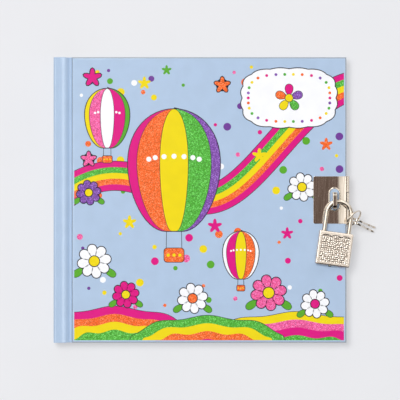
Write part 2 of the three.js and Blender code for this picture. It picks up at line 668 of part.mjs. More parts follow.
function buildPadlock() {
  const lock = lockFrame();
  const shell = lockShell();
  addPiece("padlock_front_shell", surface(shell.subtract(solid(faceField()))), FINISH.nickel, lock);
  const back = surface(lockShell());
  back.rotateY(Math.PI);
  addPiece("padlock_back_shell", back, FINISH.nickel, lock);
  addPiece("padlock_shackle", shackleWire(), FINISH.nickel, lock);

  const plugTop = -LOCK_HEIGHT + PLUG_LENGTH;
  const keywayReach = PLUG_RADIUS * KEYWAY_SHARE;
  const keywayEnd = plugTop - PLUG_END;
  const keyway = block(-KEYWAY / 2, KEYWAY / 2, -LOCK_HEIGHT - 1, keywayEnd, -keywayReach, keywayReach);
  addPiece(
    "padlock_plug",
    cut(barAlongY(PLUG_RADIUS, 0, 0, -LOCK_HEIGHT, plugTop, 20), keyway),
    FINISH.steel,
    lock,
  );

  const tip = SHACKLE_SPAN / 2 - SHACKLE_RADIUS + NOTCH_DEPTH - LATCH_SET_BACK;
  const halfLatch = LATCH_THICKNESS / 2;
  const top = LATCH_Y + LATCH_HEIGHT / 2;
  const bolt = block(-LATCH_TAIL, tip, top - LATCH_HEIGHT, top, -halfLatch, halfLatch);
  const tail = block(-LATCH_TAIL, LATCH_TAIL / 3, plugTop + SPRING_GAP, LATCH_Y, -halfLatch, halfLatch);
  addPiece("padlock_latch", join(bolt, tail), FINISH.steel, lock);

  const wallSide = -SHACKLE_SPAN / 2 + SHACKLE_RADIUS + LEG_CLEARANCE + SPRING_GAP;
  const bendY = LATCH_Y - SPRING_DROP;
  const leaf = new THREE.Shape();
  leaf.moveTo(-LATCH_TAIL - SPRING_GAP, top);
  leaf.lineTo(-LATCH_TAIL - SPRING_GAP - SPRING_SHEET, top);
  leaf.lineTo(wallSide, bendY);
  leaf.lineTo(wallSide, bendY - SPRING_FOOT);
  leaf.lineTo(wallSide + SPRING_SHEET, bendY - SPRING_FOOT);
  leaf.lineTo(wallSide + SPRING_SHEET, bendY);
  const spring = thicken(leaf, 2 * LATCH_THICKNESS);
  spring.translate(0, 0, -LATCH_THICKNESS);
  addPiece("padlock_latch_spring", spring, FINISH.steel, lock);
}

function buildKeys() {
  const along = new THREE.Vector3(Math.cos(RING_HEADING), Math.sin(RING_HEADING), 0);
  const sideways = new THREE.Vector3(Math.sin(RING_HEADING), -Math.cos(RING_HEADING), 0);
  const plumb = new THREE.Vector3(0, 0, -Math.cos(RING_LEAN));
  const down = sideways.multiplyScalar(Math.sin(RING_LEAN)).add(plumb);
  const normal = new THREE.Vector3().crossVectors(along, down);
  const centre = new THREE.Vector3(SLOT_X, 0, TOP_Z).add(new THREE.Vector3(...RING_FROM_SLOT));
  const ringFrame = new THREE.Matrix4().makeBasis(along, down, normal).setPosition(centre);
  const ring = new THREE.TorusGeometry(RING_RADIUS, RING_WIRE, 8, 32);
  addPiece("key_ring", ring.applyMatrix4(ringFrame), FINISH.steel);

  const hang = centre.clone().addScaledVector(down, RING_RADIUS);
  KEY_HEADINGS.forEach((degrees, index) => {
    const heading = THREE.MathUtils.degToRad(degrees);
    const flat = new THREE.Vector3(Math.cos(heading), Math.sin(heading), 0);
    const vertical = new THREE.Vector3(0, 0, 1);
    const run = Math.cos(KEY_SLOPE);
    const fall = Math.sin(KEY_SLOPE);
    const out = flat.clone().multiplyScalar(run).addScaledVector(vertical, -fall);
    const up = flat.clone().multiplyScalar(fall).addScaledVector(vertical, run);
    const side = new THREE.Vector3().crossVectors(out, up);
    const offset = (index === 0 ? 0.5 : -0.5) * KEY_SPACING;
    const place = hang.clone().addScaledVector(side, offset);
    const frame = new THREE.Matrix4().makeBasis(out, up, side).setPosition(place);
    addPiece(`key_${index + 1}`, keyBlank(index).applyMatrix4(frame), FINISH.nickel);
  });
}

// A flat key: round bow with a hole at the origin, a shank along +x and teeth on its upper edge
function keyBlank(index) {
  const bow = new THREE.Shape();
  bow.absarc(KEY_BOW_OFFSET, 0, KEY_BOW, 0, 2 * Math.PI);
  const bowPlate = thicken(bow, KEY_THICKNESS, 14);
  const hole = new THREE.Shape();
  hole.absarc(0, 0, KEY_HOLE, 0, 2 * Math.PI);
  const holeCut = thicken(hole, KEY_THICKNESS + 2, 10);
  holeCut.translate(0, 0, -1);
  const shank = block(KEY_BOW - 0.5, KEY_REACH, -KEY_SHANK, KEY_SHANK, 0, KEY_THICKNESS);
  const teeth = KEY_BITES.map((share) => {
    const x = share * KEY_REACH;
    const floor = KEY_SHANK - KEY_SHANK * KEY_BITE_DEPTHS[index];
    return block(x, x + KEY_BITE_WIDTH, floor, KEY_SHANK + 1, -1, KEY_THICKNESS + 1);
  });
  const key = cut(join(bowPlate, shank), holeCut, ...teeth);
  key.translate(0, 0, -KEY_THICKNESS / 2);
  return key;
}

buildBackCover();
buildFrontCover();
buildSpine();
buildPaper();
buildHasp();
buildStaple();
buildPadlock();
buildKeys();

export default diary;
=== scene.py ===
"""Looks of a locked, case-bound diary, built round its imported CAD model.

Lengths in the dataclasses are millimetres, as in the CAD source; meshes are
written in metres. The axes are the CAD's: +X to the fore-edge, +Y to the head,
+Z out of the front cover.
"""

from __future__ import annotations

import logging
import math
import random
from collections.abc import Callable, Iterator, Sequence
from contextlib import contextmanager
from dataclasses import dataclass, field
from enum import Enum

import bmesh
import bpy
from mathutils import Matrix, Vector

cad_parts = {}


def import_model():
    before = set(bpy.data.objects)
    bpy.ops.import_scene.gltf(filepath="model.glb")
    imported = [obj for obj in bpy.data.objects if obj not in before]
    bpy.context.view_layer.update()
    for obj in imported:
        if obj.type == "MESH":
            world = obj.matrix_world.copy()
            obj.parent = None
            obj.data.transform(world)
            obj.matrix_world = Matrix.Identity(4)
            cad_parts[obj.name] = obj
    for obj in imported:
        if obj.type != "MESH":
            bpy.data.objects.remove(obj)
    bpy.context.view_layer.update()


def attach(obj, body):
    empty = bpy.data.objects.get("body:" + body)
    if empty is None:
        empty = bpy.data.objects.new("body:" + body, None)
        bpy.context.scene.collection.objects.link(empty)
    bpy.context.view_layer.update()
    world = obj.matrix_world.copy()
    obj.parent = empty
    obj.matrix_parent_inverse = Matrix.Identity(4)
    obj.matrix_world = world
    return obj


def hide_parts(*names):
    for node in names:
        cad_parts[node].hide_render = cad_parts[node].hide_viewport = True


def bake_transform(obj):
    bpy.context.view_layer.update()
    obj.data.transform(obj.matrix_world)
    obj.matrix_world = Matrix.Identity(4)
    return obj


MM = 0.001
TOUCHING = 1e-5  # metres within which a point counts as lying on a plane
LYING = 0.8  # share of a face's normal along z from which the face lies flat
WAVES_PER_UNIT = 3.183  # waves that the wave texture fits into one unit at scale 1
STRIPES_PER_UNIT = 6.3  # half waves, so one for each thread of a striped cloth
LOG = logging.getLogger("diary")
Point = tuple[float, float]
Test = Callable[[Vector, Vector], bool]


def linear(code: str) -> tuple[float, float, float, float]:
    """Turn a hexadecimal screen colour into a linear one.

    Args:
        code: Six hexadecimal digits, such as "ec008c".

    Returns:
        Red, green, blue and alpha as Blender's sockets take them.
    """
    parts = [int(code[i : i + 2], 16) / 255 for i in (0, 2, 4)]
    low = [c / 12.92 if c <= 0.04045 else ((c + 0.055) / 1.055) ** 2.4 for c in parts]
    return (low[0], low[1], low[2], 1.0)


class Plane(Enum):
    """The plane an outline is drawn in, and the axis it is extruded along."""

    XY = (0, 1, 2)
    XZ = (0, 2, 1)
    YZ = (1, 2, 0)

    def point(self, u: float, v: float, w: float) -> Vector:
        """Place a drawn point.

        Args:
            u: First drawn coordinate in millimetres.
            v: Second drawn coordinate in millimetres.
            w: Distance along the extrusion axis in millimetres.

        Returns:
            The point in metres.
        """
        place = Vector((0.0, 0.0, 0.0))
        for axis, value in zip(self.value, (u, v, w)):
            place[axis] = value * MM
        return place


def clear_selection() -> None:
    """Leave edit mode and deselect every object."""
    if bpy.context.object and bpy.context.object.mode != "OBJECT":
        bpy.ops.object.mode_set(mode="OBJECT")
    bpy.ops.object.select_all(action="DESELECT")


def activate(piece: bpy.types.Object) -> None:
    """Select one object alone and make it active.

    Args:
        piece: The object.
    """
    clear_selection()
    piece.select_set(True)
    bpy.context.view_layer.objects.active = piece


@contextmanager
def editing(piece: bpy.types.Object) -> Iterator[bpy.types.Object]:
    """Open a piece in edit mode with nothing selected, and close it again."""
    activate(piece)
    bpy.ops.object.mode_set(mode="EDIT")
    bpy.ops.mesh.select_mode(type="VERT")
    bpy.ops.mesh.select_all(action="DESELECT")
    yield piece
    bpy.ops.object.mode_set(mode="OBJECT")


def pick_faces(piece: bpy.types.Object, test: Test) -> None:
    """Select the faces of a piece in edit mode by their middle and normal.

    Args:
        piece: The piece that is in edit mode.
        test: Says of a face's middle and normal whether it is wanted.
    """
    bpy.ops.mesh.select_mode(type="FACE")
    mesh = bmesh.from_edit_mesh(piece.data)
    for face in mesh.faces:
        face.select_set(test(face.calc_center_median(), face.normal))
    bmesh.update_edit_mesh(piece.data)


def pick_edges(piece: bpy.types.Object, test: Test) -> None:
    """Select the edges of a piece in edit mode by their middle and direction.

    Args:
        piece: The piece that is in edit mode.
        test: Says of an edge's middle and direction whether it is wanted.
    """
    bpy.ops.mesh.select_mode(type="EDGE")
    mesh = bmesh.from_edit_mesh(piece.data)
    for edge in mesh.edges:
        first, second = (corner.co for corner in edge.verts)
        edge.select_set(test((first + second) / 2, (second - first).normalized()))
    bmesh.update_edit_mesh(piece.data)


def apply_modifier(piece: bpy.types.Object, kind: str, **settings: object) -> None:
    """Add one modifier to a piece and apply it.

    Args:
        piece: The piece to change.
        kind: Blender's name for the modifier's type.
        settings: The modifier's own settings.
    """
    activate(piece)
    modifier = piece.modifiers.new(kind.lower(), kind)
    for setting, value in settings.items():
        setattr(modifier, setting, value)
    bpy.ops.object.modifier_apply(modifier=modifier.name)


def round_edges(
    piece: bpy.types.Object, width: float, segments: int = 3, angle: float = 40
) -> None:
    """Round every edge of a piece that is sharper than an angle.

    Args:
        piece: The piece to change.
        width: Width of the rounding in millimetres.
        segments: Number of faces across the rounding.
        angle: The smallest angle that is rounded, in degrees.
    """
    apply_modifier(
        piece,
        "BEVEL",
        width=width * MM,
        segments=segments,
        limit_method="ANGLE",
        angle_limit=math.radians(angle),
        harden_normals=False,
    )


def smooth(piece: bpy.types.Object, angle: float = 35) -> None:
    """Shade a piece smooth, with its large faces kept flat.

    Args:
        piece: The piece to shade.
        angle: Edges sharper than this stay sharp, in degrees.
    """
    activate(piece)
    bpy.ops.object.shade_smooth_by_angle(angle=math.radians(angle))
    apply_modifier(piece, "WEIGHTED_NORMAL", keep_sharp=True, weight=80)


def tidy_normals(piece: bpy.types.Object) -> None:
    """Merge doubled points and turn every face outwards."""
    with editing(piece):
        bpy.ops.mesh.select_all(action="SELECT")
        bpy.ops.mesh.remove_doubles(threshold=1e-7)
        bpy.ops.mesh.normals_make_consistent(inside=False)


def new_box(name: str, low: Sequence[float], high: Sequence[float]) -> bpy.types.Object:
    """Add a box between two corners.

    Args:
        name: The piece's name.
        low: Lowest corner in millimetres.
        high: Highest corner in millimetres.

    Returns:
        The new piece, at the origin with its place in its mesh.
    """
    clear_selection()
    centre = [(a + b) / 2 * MM for a, b in zip(low, high)]
    size = [(b - a) * MM for a, b in zip(low, high)]
    bpy.ops.mesh.primitive_cube_add(size=1, location=centre, scale=size)
    return take_new(name)


def take_new(name: str) -> bpy.types.Object:
    """Name the object that was just added and settle its place into its mesh.

    Args:
        name: The name that it and its mesh get.

    Returns:
        The object, at the origin.
    """
    piece = bpy.context.object
    piece.name = piece.data.name = name
    bpy.ops.object.transform_apply(location=True, rotation=True, scale=True)
    return piece


def new_prism(
    name: str, outline: Sequence[Point], low: float, high: float, plane: Plane = Plane.XY
) -> bpy.types.Object:
    """Draw a closed outline and extrude it.

    Args:
        name: The piece's name.
        outline: Corners of the outline in millimetres.
        low: Where the extrusion starts, in millimetres.
        high: Where the extrusion ends, in millimetres.
        plane: The plane the outline is drawn in.

    Returns:
        The new piece, with its faces turned outwards.
    """
    clear_selection()
    bpy.ops.mesh.primitive_circle_add(vertices=len(outline), fill_type="NGON")
    piece = take_new(name)
    for vertex, (u, v) in zip(piece.data.vertices, outline):
        vertex.co = plane.point(u, v, low)
    with editing(piece):
        bpy.ops.mesh.select_all(action="SELECT")
        bpy.ops.mesh.extrude_region_move(
            TRANSFORM_OT_translate={"value": plane.point(0, 0, high - low)}
        )
        bpy.ops.mesh.select_all(action="SELECT")
        bpy.ops.mesh.normals_make_consistent(inside=False)
    return piece


def new_wire(
    name: str, path: Sequence[Vector], radius: float, closed: bool = False
) -> bpy.types.Object:
    """Lay a round wire along a path.

    Args:
        name: The piece's name.
        path: Points of the wire's centre line, in millimetres.
        radius: The wire's radius in millimetres.
        closed: Whether the wire's ends meet.

    Returns:
        The wire as a mesh piece.
    """
    clear_selection()
    bpy.ops.curve.primitive_nurbs_path_add()
    curve = bpy.context.object
    curve.data.splines.clear()
    spline = curve.data.splines.new("POLY")
    spline.points.add(len(path) - 1)
    for point, place in zip(spline.points, path):
        point.co = (*(place * MM), 1)
    spline.use_cyclic_u = closed
    curve.data.bevel_depth = radius * MM
    curve.data.bevel_resolution = 6
    curve.data.use_fill_caps = not closed
    bpy.ops.object.convert(target="MESH")
    piece = take_new(name)
    tidy_normals(piece)
    return piece


def join_pieces(first: bpy.types.Object, *others: bpy.types.Object) -> bpy.types.Object:
    """Join pieces into the first one.

    Args:
        first: The piece that takes up the others.
        others: The pieces that end in it.

    Returns:
        The first piece.
    """
    activate(first)
    for other in others:
        other.select_set(True)
    bpy.ops.object.join()
    return first


def cut_away(piece: bpy.types.Object, tool: bpy.types.Object) -> None:
    """Cut a tool's shape out of a piece and remove the tool.

    Args:
        piece: The piece to cut.
        tool: A closed shape.
    """
    apply_modifier(piece, "BOOLEAN", operation="DIFFERENCE", object=tool, solver="EXACT")
    bpy.data.objects.remove(tool)


def arc(cx: float, cy: float, radius: float, start: float, end: float, steps: int) -> list[Point]:
    """List the points of a circular arc.

    Args:
        cx: First coordinate of the centre.
        cy: Second coordinate of the centre.
        radius: The arc's radius.
        start: First angle in degrees.
        end: Last angle in degrees.
        steps: Number of steps between the two.

    Returns:
        The points, both ends included.
    """
    angles = [math.radians(start + (end - start) * i / steps) for i in range(steps + 1)]
    return [(cx + radius * math.cos(a), cy + radius * math.sin(a)) for a in angles]


def rounded_box(
    x0: float, x1: float, y0: float, y1: float, radius: float, steps: int = 6
) -> list[Point]:
    """Outline a rectangle with round corners, counter-clockwise from its lower right.

    Args:
        x0: Its left side.
        x1: Its right side.
        y0: Its lower side.
        y1: Its upper side.
        radius: Radius of its corners.
        steps: Number of steps round each corner.

    Returns:
        The outline.
    """
    return (
        arc(x1 - radius, y0 + radius, radius, -90, 0, steps)
        + arc(x1 - radius, y1 - radius, radius, 0, 90, steps)
        + arc(x0 + radius, y1 - radius, radius, 90, 180, steps)
        + arc(x0 + radius, y0 + radius, radius, 180, 270, steps)
    )


class Shading:
    """Builds the nodes of one material round its Principled shader."""

    def __init__(self, name: str) -> None:
        """Start a material.

        Args:
            name: The material's name.
        """
        self.material = bpy.data.materials.new(name)
        self.material.use_nodes = True
        self.tree = self.material.node_tree
        self.shader = self.tree.nodes["Principled BSDF"]
        self.place = self.tree.nodes.new("ShaderNodeTexCoord").outputs["Object"]

    def set(self, **values: object) -> None:
        """Set sockets of the shader by name, with underscores for spaces."""
        for name, value in values.items():
            self.shader.inputs[name.replace("_", " ")].default_value = value

    def node(self, kind: str, inputs: dict[str, object], **settings: object) -> bpy.types.Node:
        """Add a node.

        Args:
            kind: The node's type, without its ShaderNode prefix.
            inputs: Values or linked outputs by socket name.
            settings: The node's own settings.

        Returns:
            The new node.
        """
        made = self.tree.nodes.new("ShaderNode" + kind)
        for setting, value in settings.items():
            setattr(made, setting, value)
        for name, value in inputs.items():
            socket = made.inputs[int(name)] if name.isdigit() else made.inputs[name]
            if isinstance(value, bpy.types.NodeSocket):
                self.tree.links.new(value, socket)
            else:
                socket.default_value = value
        return made

    def stretched(self, scale: Sequence[float]) -> bpy.types.NodeSocket:
        """Scale object coordinates differently along each axis.

        Args:
            scale: The factor along x, y and z; a small one draws the pattern out.

        Returns:
            The scaled coordinates.
        """
        return self.node("Mapping", {"Vector": self.place, "Scale": scale}).outputs["Vector"]

    def noise(
        self, size: float, place: bpy.types.NodeSocket | None = None, detail: float = 3
    ) -> bpy.types.NodeSocket:
        """Add noise.

        Args:
            size: About how large its grains are, in millimetres.
            place: Coordinates to use in place of the object's own.
            detail: Number of finer layers.

        Returns:
            The noise, from 0 to 1.
        """
        grain = {"Vector": place or self.place, "Scale": 1 / (size * MM), "Detail": detail}
        return self.node("TexNoise", grain).outputs["Fac"]

    def ramp(
        self, value: bpy.types.NodeSocket, stops: Sequence[tuple[float, Sequence[float]]]
    ) -> bpy.types.NodeSocket:
        """Turn a value into a colour.

        Args:
            value: The value to look up, from 0 to 1.
            stops: Positions and their colours.

        Returns:
            The colour's socket.
        """
        made = self.node("ValToRGB", {"Fac": value})
        band = made.color_ramp
        while len(band.elements) < len(stops):
            band.elements.new(0.5)
        for element, (position, colour) in zip(band.elements, stops):
            element.position = position
            element.color = colour
        return made.outputs["Color"]

    def colour(self, socket: bpy.types.NodeSocket) -> None:
        """Link the shader's colour."""
        self.tree.links.new(socket, self.shader.inputs["Base Color"])

    def roughness(self, value: bpy.types.NodeSocket, low: float, high: float) -> None:
        """Vary the shader's roughness.

        Args:
            value: Where on the way from low to high it is, from 0 to 1.
            low: The smoothest it gets.
            high: The roughest it gets.
        """
        spread = self.node("MapRange", {"Value": value, "To Min": low, "To Max": high})
        self.tree.links.new(spread.outputs["Result"], self.shader.inputs["Roughness"])

    def bump(self, height: bpy.types.NodeSocket, depth: float, strength: float = 1.0) -> None:
        """Raise the surface by a height map.

        Args:
            height: The map.
            depth: How deep it goes, in millimetres.
            strength: How much of it shows.
        """
        relief = {"Height": height, "Distance": depth * MM, "Strength": strength}
        made = self.node("Bump", relief)
        self.tree.links.new(made.outputs["Normal"], self.shader.inputs["Normal"])


@dataclass(frozen=True)
class PrintedPaper:
    """Printed paper under a thin gloss film."""

    name: str
    code: str
    coat: float = 0.55
    mottle: float = 0.035
    cloud: float = 9.0
    grain: float = 0.8
    wave: float = 1.6

    def material(self) -> bpy.types.Material:
        """Build the material with a faint mottle and the film's slight waviness."""
        shading = Shading(self.name)
        base = linear(self.code)
        light = tuple(min(1.0, c * (1 + self.mottle)) for c in base[:3]) + (1.0,)
        dark = tuple(c * (1 - self.mottle) for c in base[:3]) + (1.0,)
        shading.colour(shading.ramp(shading.noise(self.cloud), [(0.35, dark), (0.65, light)]))
        shading.roughness(shading.noise(self.grain), 0.32, 0.44)
        shading.set(Coat_Weight=self.coat, Coat_Roughness=0.12, Specular_IOR_Level=0.4)
        shading.bump(shading.noise(self.wave, detail=2), 0.006, 0.5)
        return shading.material


@dataclass(frozen=True)
class Glitter:
    """Ink with metallic flakes under the film."""

    name: str
    code: str
    flake: float = 0.34

    def material(self) -> bpy.types.Material:
        """Build the material from cells of random brightness and tilt; its whitest cells are
        painted glints of the flakes.
        """
        shading = Shading(self.name)
        base = linear(self.code)
        cells = {"Vector": shading.place, "Scale": 1 / (self.flake * MM)}
        voronoi = shading.node("TexVoronoi", cells)
        tone = shading.node("SeparateColor", {"Color": voronoi.outputs["Color"]}).outputs["Red"]
        deep = tuple(c * 0.62 for c in base[:3]) + (1.0,)
        pale = tuple(min(1.0, c * 1.35 + 0.02) for c in base[:3]) + (1.0,)
        # Painted glints: the brightest flakes are near white under any light; the other cells
        # differ at random in tone.
        painted_glint = tuple(min(1.0, c * 1.9 + 0.16) for c in base[:3]) + (1.0,)
        stops = [(0.0, deep), (0.3, base), (0.78, pale), (0.97, painted_glint)]
        shading.colour(shading.ramp(tone, stops))
        shading.set(Roughness=0.35, Coat_Weight=0.3, Coat_Roughness=0.15)
        shading.bump(tone, 0.02, 0.5)
        return shading.material


@dataclass(frozen=True)
class Board:
    """Grey board of pressed fibres, seen where the case is open inside."""

    name: str = "greyboard"
    code: str = "8f8d88"

    def material(self) -> bpy.types.Material:
        """Build the material with dark and pale fibre specks."""
        shading = Shading(self.name)
        base = linear(self.code)
        dark = tuple(c * 0.7 for c in base[:3]) + (1.0,)
        pale = tuple(min(1.0, c * 1.25) for c in base[:3]) + (1.0,)
        fibres = shading.noise(0.35, shading.stretched((1, 0.3, 1)))
        shading.colour(shading.ramp(fibres, [(0.3, dark), (0.5, base), (0.72, pale)]))
        shading.roughness(fibres, 0.82, 0.95)
        shading.bump(fibres, 0.05, 0.6)
        return shading.material


@dataclass(frozen=True)
class LeafPaper:
    """Uncoated paper; a stack of it shows its sheets along the edges."""

    name: str
    code: str = "f3efe4"
    line: str = "a9c3e6"
    sheet: float = 0.0
    ruling: float = 0.0

    def material(self) -> bpy.types.Material:
        """Build the material with fibres, and with sheet lines or ruled lines if it has them."""
        shading = Shading(self.name)
        base = linear(self.code)
        warm = tuple(c * f for c, f in zip(base[:3], (0.96, 0.95, 0.92))) + (1.0,)
        fibre = shading.noise(0.25)
        plain = shading.ramp(fibre, [(0.3, warm), (0.6, base)])
        shading.roughness(fibre, 0.78, 0.92)
        if self.sheet:
            edges = shading.noise(self.sheet, shading.stretched((0.02, 0.02, 1)), 4)
            shade = tuple(c * 0.72 for c in base[:3]) + (1.0,)
            lines = shading.ramp(edges, [(0.36, shade), (0.52, base), (0.7, warm)])
            shading.colour(self.over(shading, plain, lines, 0.85))
            shading.bump(edges, 0.06, 0.7)
        elif self.ruling:
            scale = 1 / (self.ruling * MM) / WAVES_PER_UNIT
            rows = {"Vector": shading.stretched((0, 1, 0)), "Scale": scale}
            waves = shading.node("TexWave", rows, bands_direction="Y").outputs["Fac"]
            blue = linear(self.line)
            lines = shading.ramp(waves, [(0.0, blue), (0.012, blue), (0.03, base)])
            shading.colour(self.over(shading, plain, lines, 0.7))
            shading.bump(fibre, 0.01, 0.4)
        else:
            shading.colour(plain)
            shading.bump(fibre, 0.012, 0.4)
        return shading.material

    @staticmethod
    def over(
        shading: Shading, under: bpy.types.NodeSocket, top: bpy.types.NodeSocket, share: float
    ) -> bpy.types.NodeSocket:
        """Multiply one colour over another.

        Args:
            shading: The material's nodes.
            under: The lower colour.
            top: The colour that it is multiplied by.
            share: How much of that shows.

        Returns:
            The mixed colour.
        """
        mix = shading.node("MixRGB", {"Fac": share, "Color1": under, "Color2": top})
        mix.blend_type = "MULTIPLY"
        return mix.outputs["Color"]


@dataclass(frozen=True)
class Cloth:
    """Woven binding cloth of the spine lining and the sewn bands."""

    name: str
    first: str
    second: str
    stripe: float

    def material(self) -> bpy.types.Material:
        """Build the material with stripes of two threads and a fine weave."""
        shading = Shading(self.name)
        scale = 1 / (self.stripe * MM) / STRIPES_PER_UNIT
        bands = {"Vector": shading.place, "Scale": scale}
        wave = shading.node("TexWave", bands, bands_direction="Z").outputs["Fac"]
        stops = [(0.42, linear(self.first)), (0.58, linear(self.second))]
        shading.colour(shading.ramp(wave, stops))
        weave = shading.noise(0.18, shading.stretched((1, 0.35, 1)))
        shading.roughness(weave, 0.85, 0.98)
        shading.set(Sheen_Weight=0.25)
        shading.bump(weave, 0.08, 0.7)
        return shading.material


@dataclass(frozen=True)
class Metal:
    """Plated metal with fine rubbing and darker, duller patches."""

    name: str
    code: str
    dull: str
    low: float
    high: float
    rub: tuple[float, float, float] = (1, 1, 1)
    patch: float = 3.0
    relief: float = 0.004

    def material(self) -> bpy.types.Material:
        """Build the material from its patches and rubbing marks."""
        shading = Shading(self.name)
        patches = shading.noise(self.patch, shading.stretched(self.rub), 4)
        stops = [(0.34, linear(self.dull)), (0.62, linear(self.code))]
        shading.colour(shading.ramp(patches, stops))
        marks = shading.noise(0.25, shading.stretched(self.rub), 4)
        shading.roughness(marks, self.low, self.high)
        shading.set(Metallic=1.0)
        shading.bump(marks, self.relief, 0.5)
        return shading.material


COVER_BLUE = PrintedPaper("laminated_blue", "b1c6df", coat=0.7, mottle=0.02)
GREYBOARD = Board()
LEAF_EDGES = LeafPaper("leaf_edges", sheet=0.16)
RULED_LEAF = LeafPaper("ruled_leaf", ruling=7.0)
ENDPAPER = LeafPaper("endpaper", code="f2f2ef")
LINING_CLOTH = Cloth("lining_cloth", "e9e4d8", "ddd6c6", 0.4)
SEWN_BAND = Cloth("sewn_band", "e3178c", "f7f4ee", 1.1)
SHEET_NICKEL = Metal(
    "sheet_nickel", "e6dfd6", "c9c0b5", 0.07, 0.12, rub=(1, 0.06, 1), patch=0.8, relief=0.002
)
LOCK_NICKEL = Metal("lock_nickel", "efe6de", "e5dcd3", 0.14, 0.22, patch=1.0, relief=0.003)
WIRE_NICKEL = Metal(
    "wire_nickel", "ded5ca", "cec4b8", 0.08, 0.16, rub=(1, 0.3, 1), relief=0.002
)
# Painted shade: a darker, duller nickel for the faces between the padlock's pebbles, where shade
# falls.
PAINTED_GAP_SHADE = Metal("worn_gaps", "bfb3a8", "a59a8f", 0.25, 0.4)
# Painted shade: a near-black finish for the line along the step where the padlock's sunk field
# meets its raised border.
PAINTED_STEP_SHADE = Metal("tarnish", "2b211b", "1d1612", 0.5, 0.65)
STEEL = Metal("turned_steel", "b4b2ae", "8e8b86", 0.22, 0.36, patch=1.2)
SPRING_STEEL = Metal("spring_steel", "a9acae", "82858a", 0.18, 0.3, patch=0.9)


def dress(
    piece: bpy.types.Object,
    body: str,
    material: bpy.types.Material,
    slot: str,
    *nodes: str,
) -> bpy.types.Object:
    """Give a finished piece its material, its body and the nodes it stands for.

    Args:
        piece: The finished piece.
        body: The CAD body it rides on.
        material: Its material.
        slot: The record's material slot; not used.
        nodes: CAD nodes that it replaces.

    Returns:
        The same piece.
    """
    piece.data.materials.clear()
    piece.data.materials.append(material)
    if nodes:
        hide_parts(*nodes)
    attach(piece, body)
    LOG.info("%s rides on %s", piece.name, body)
    return piece


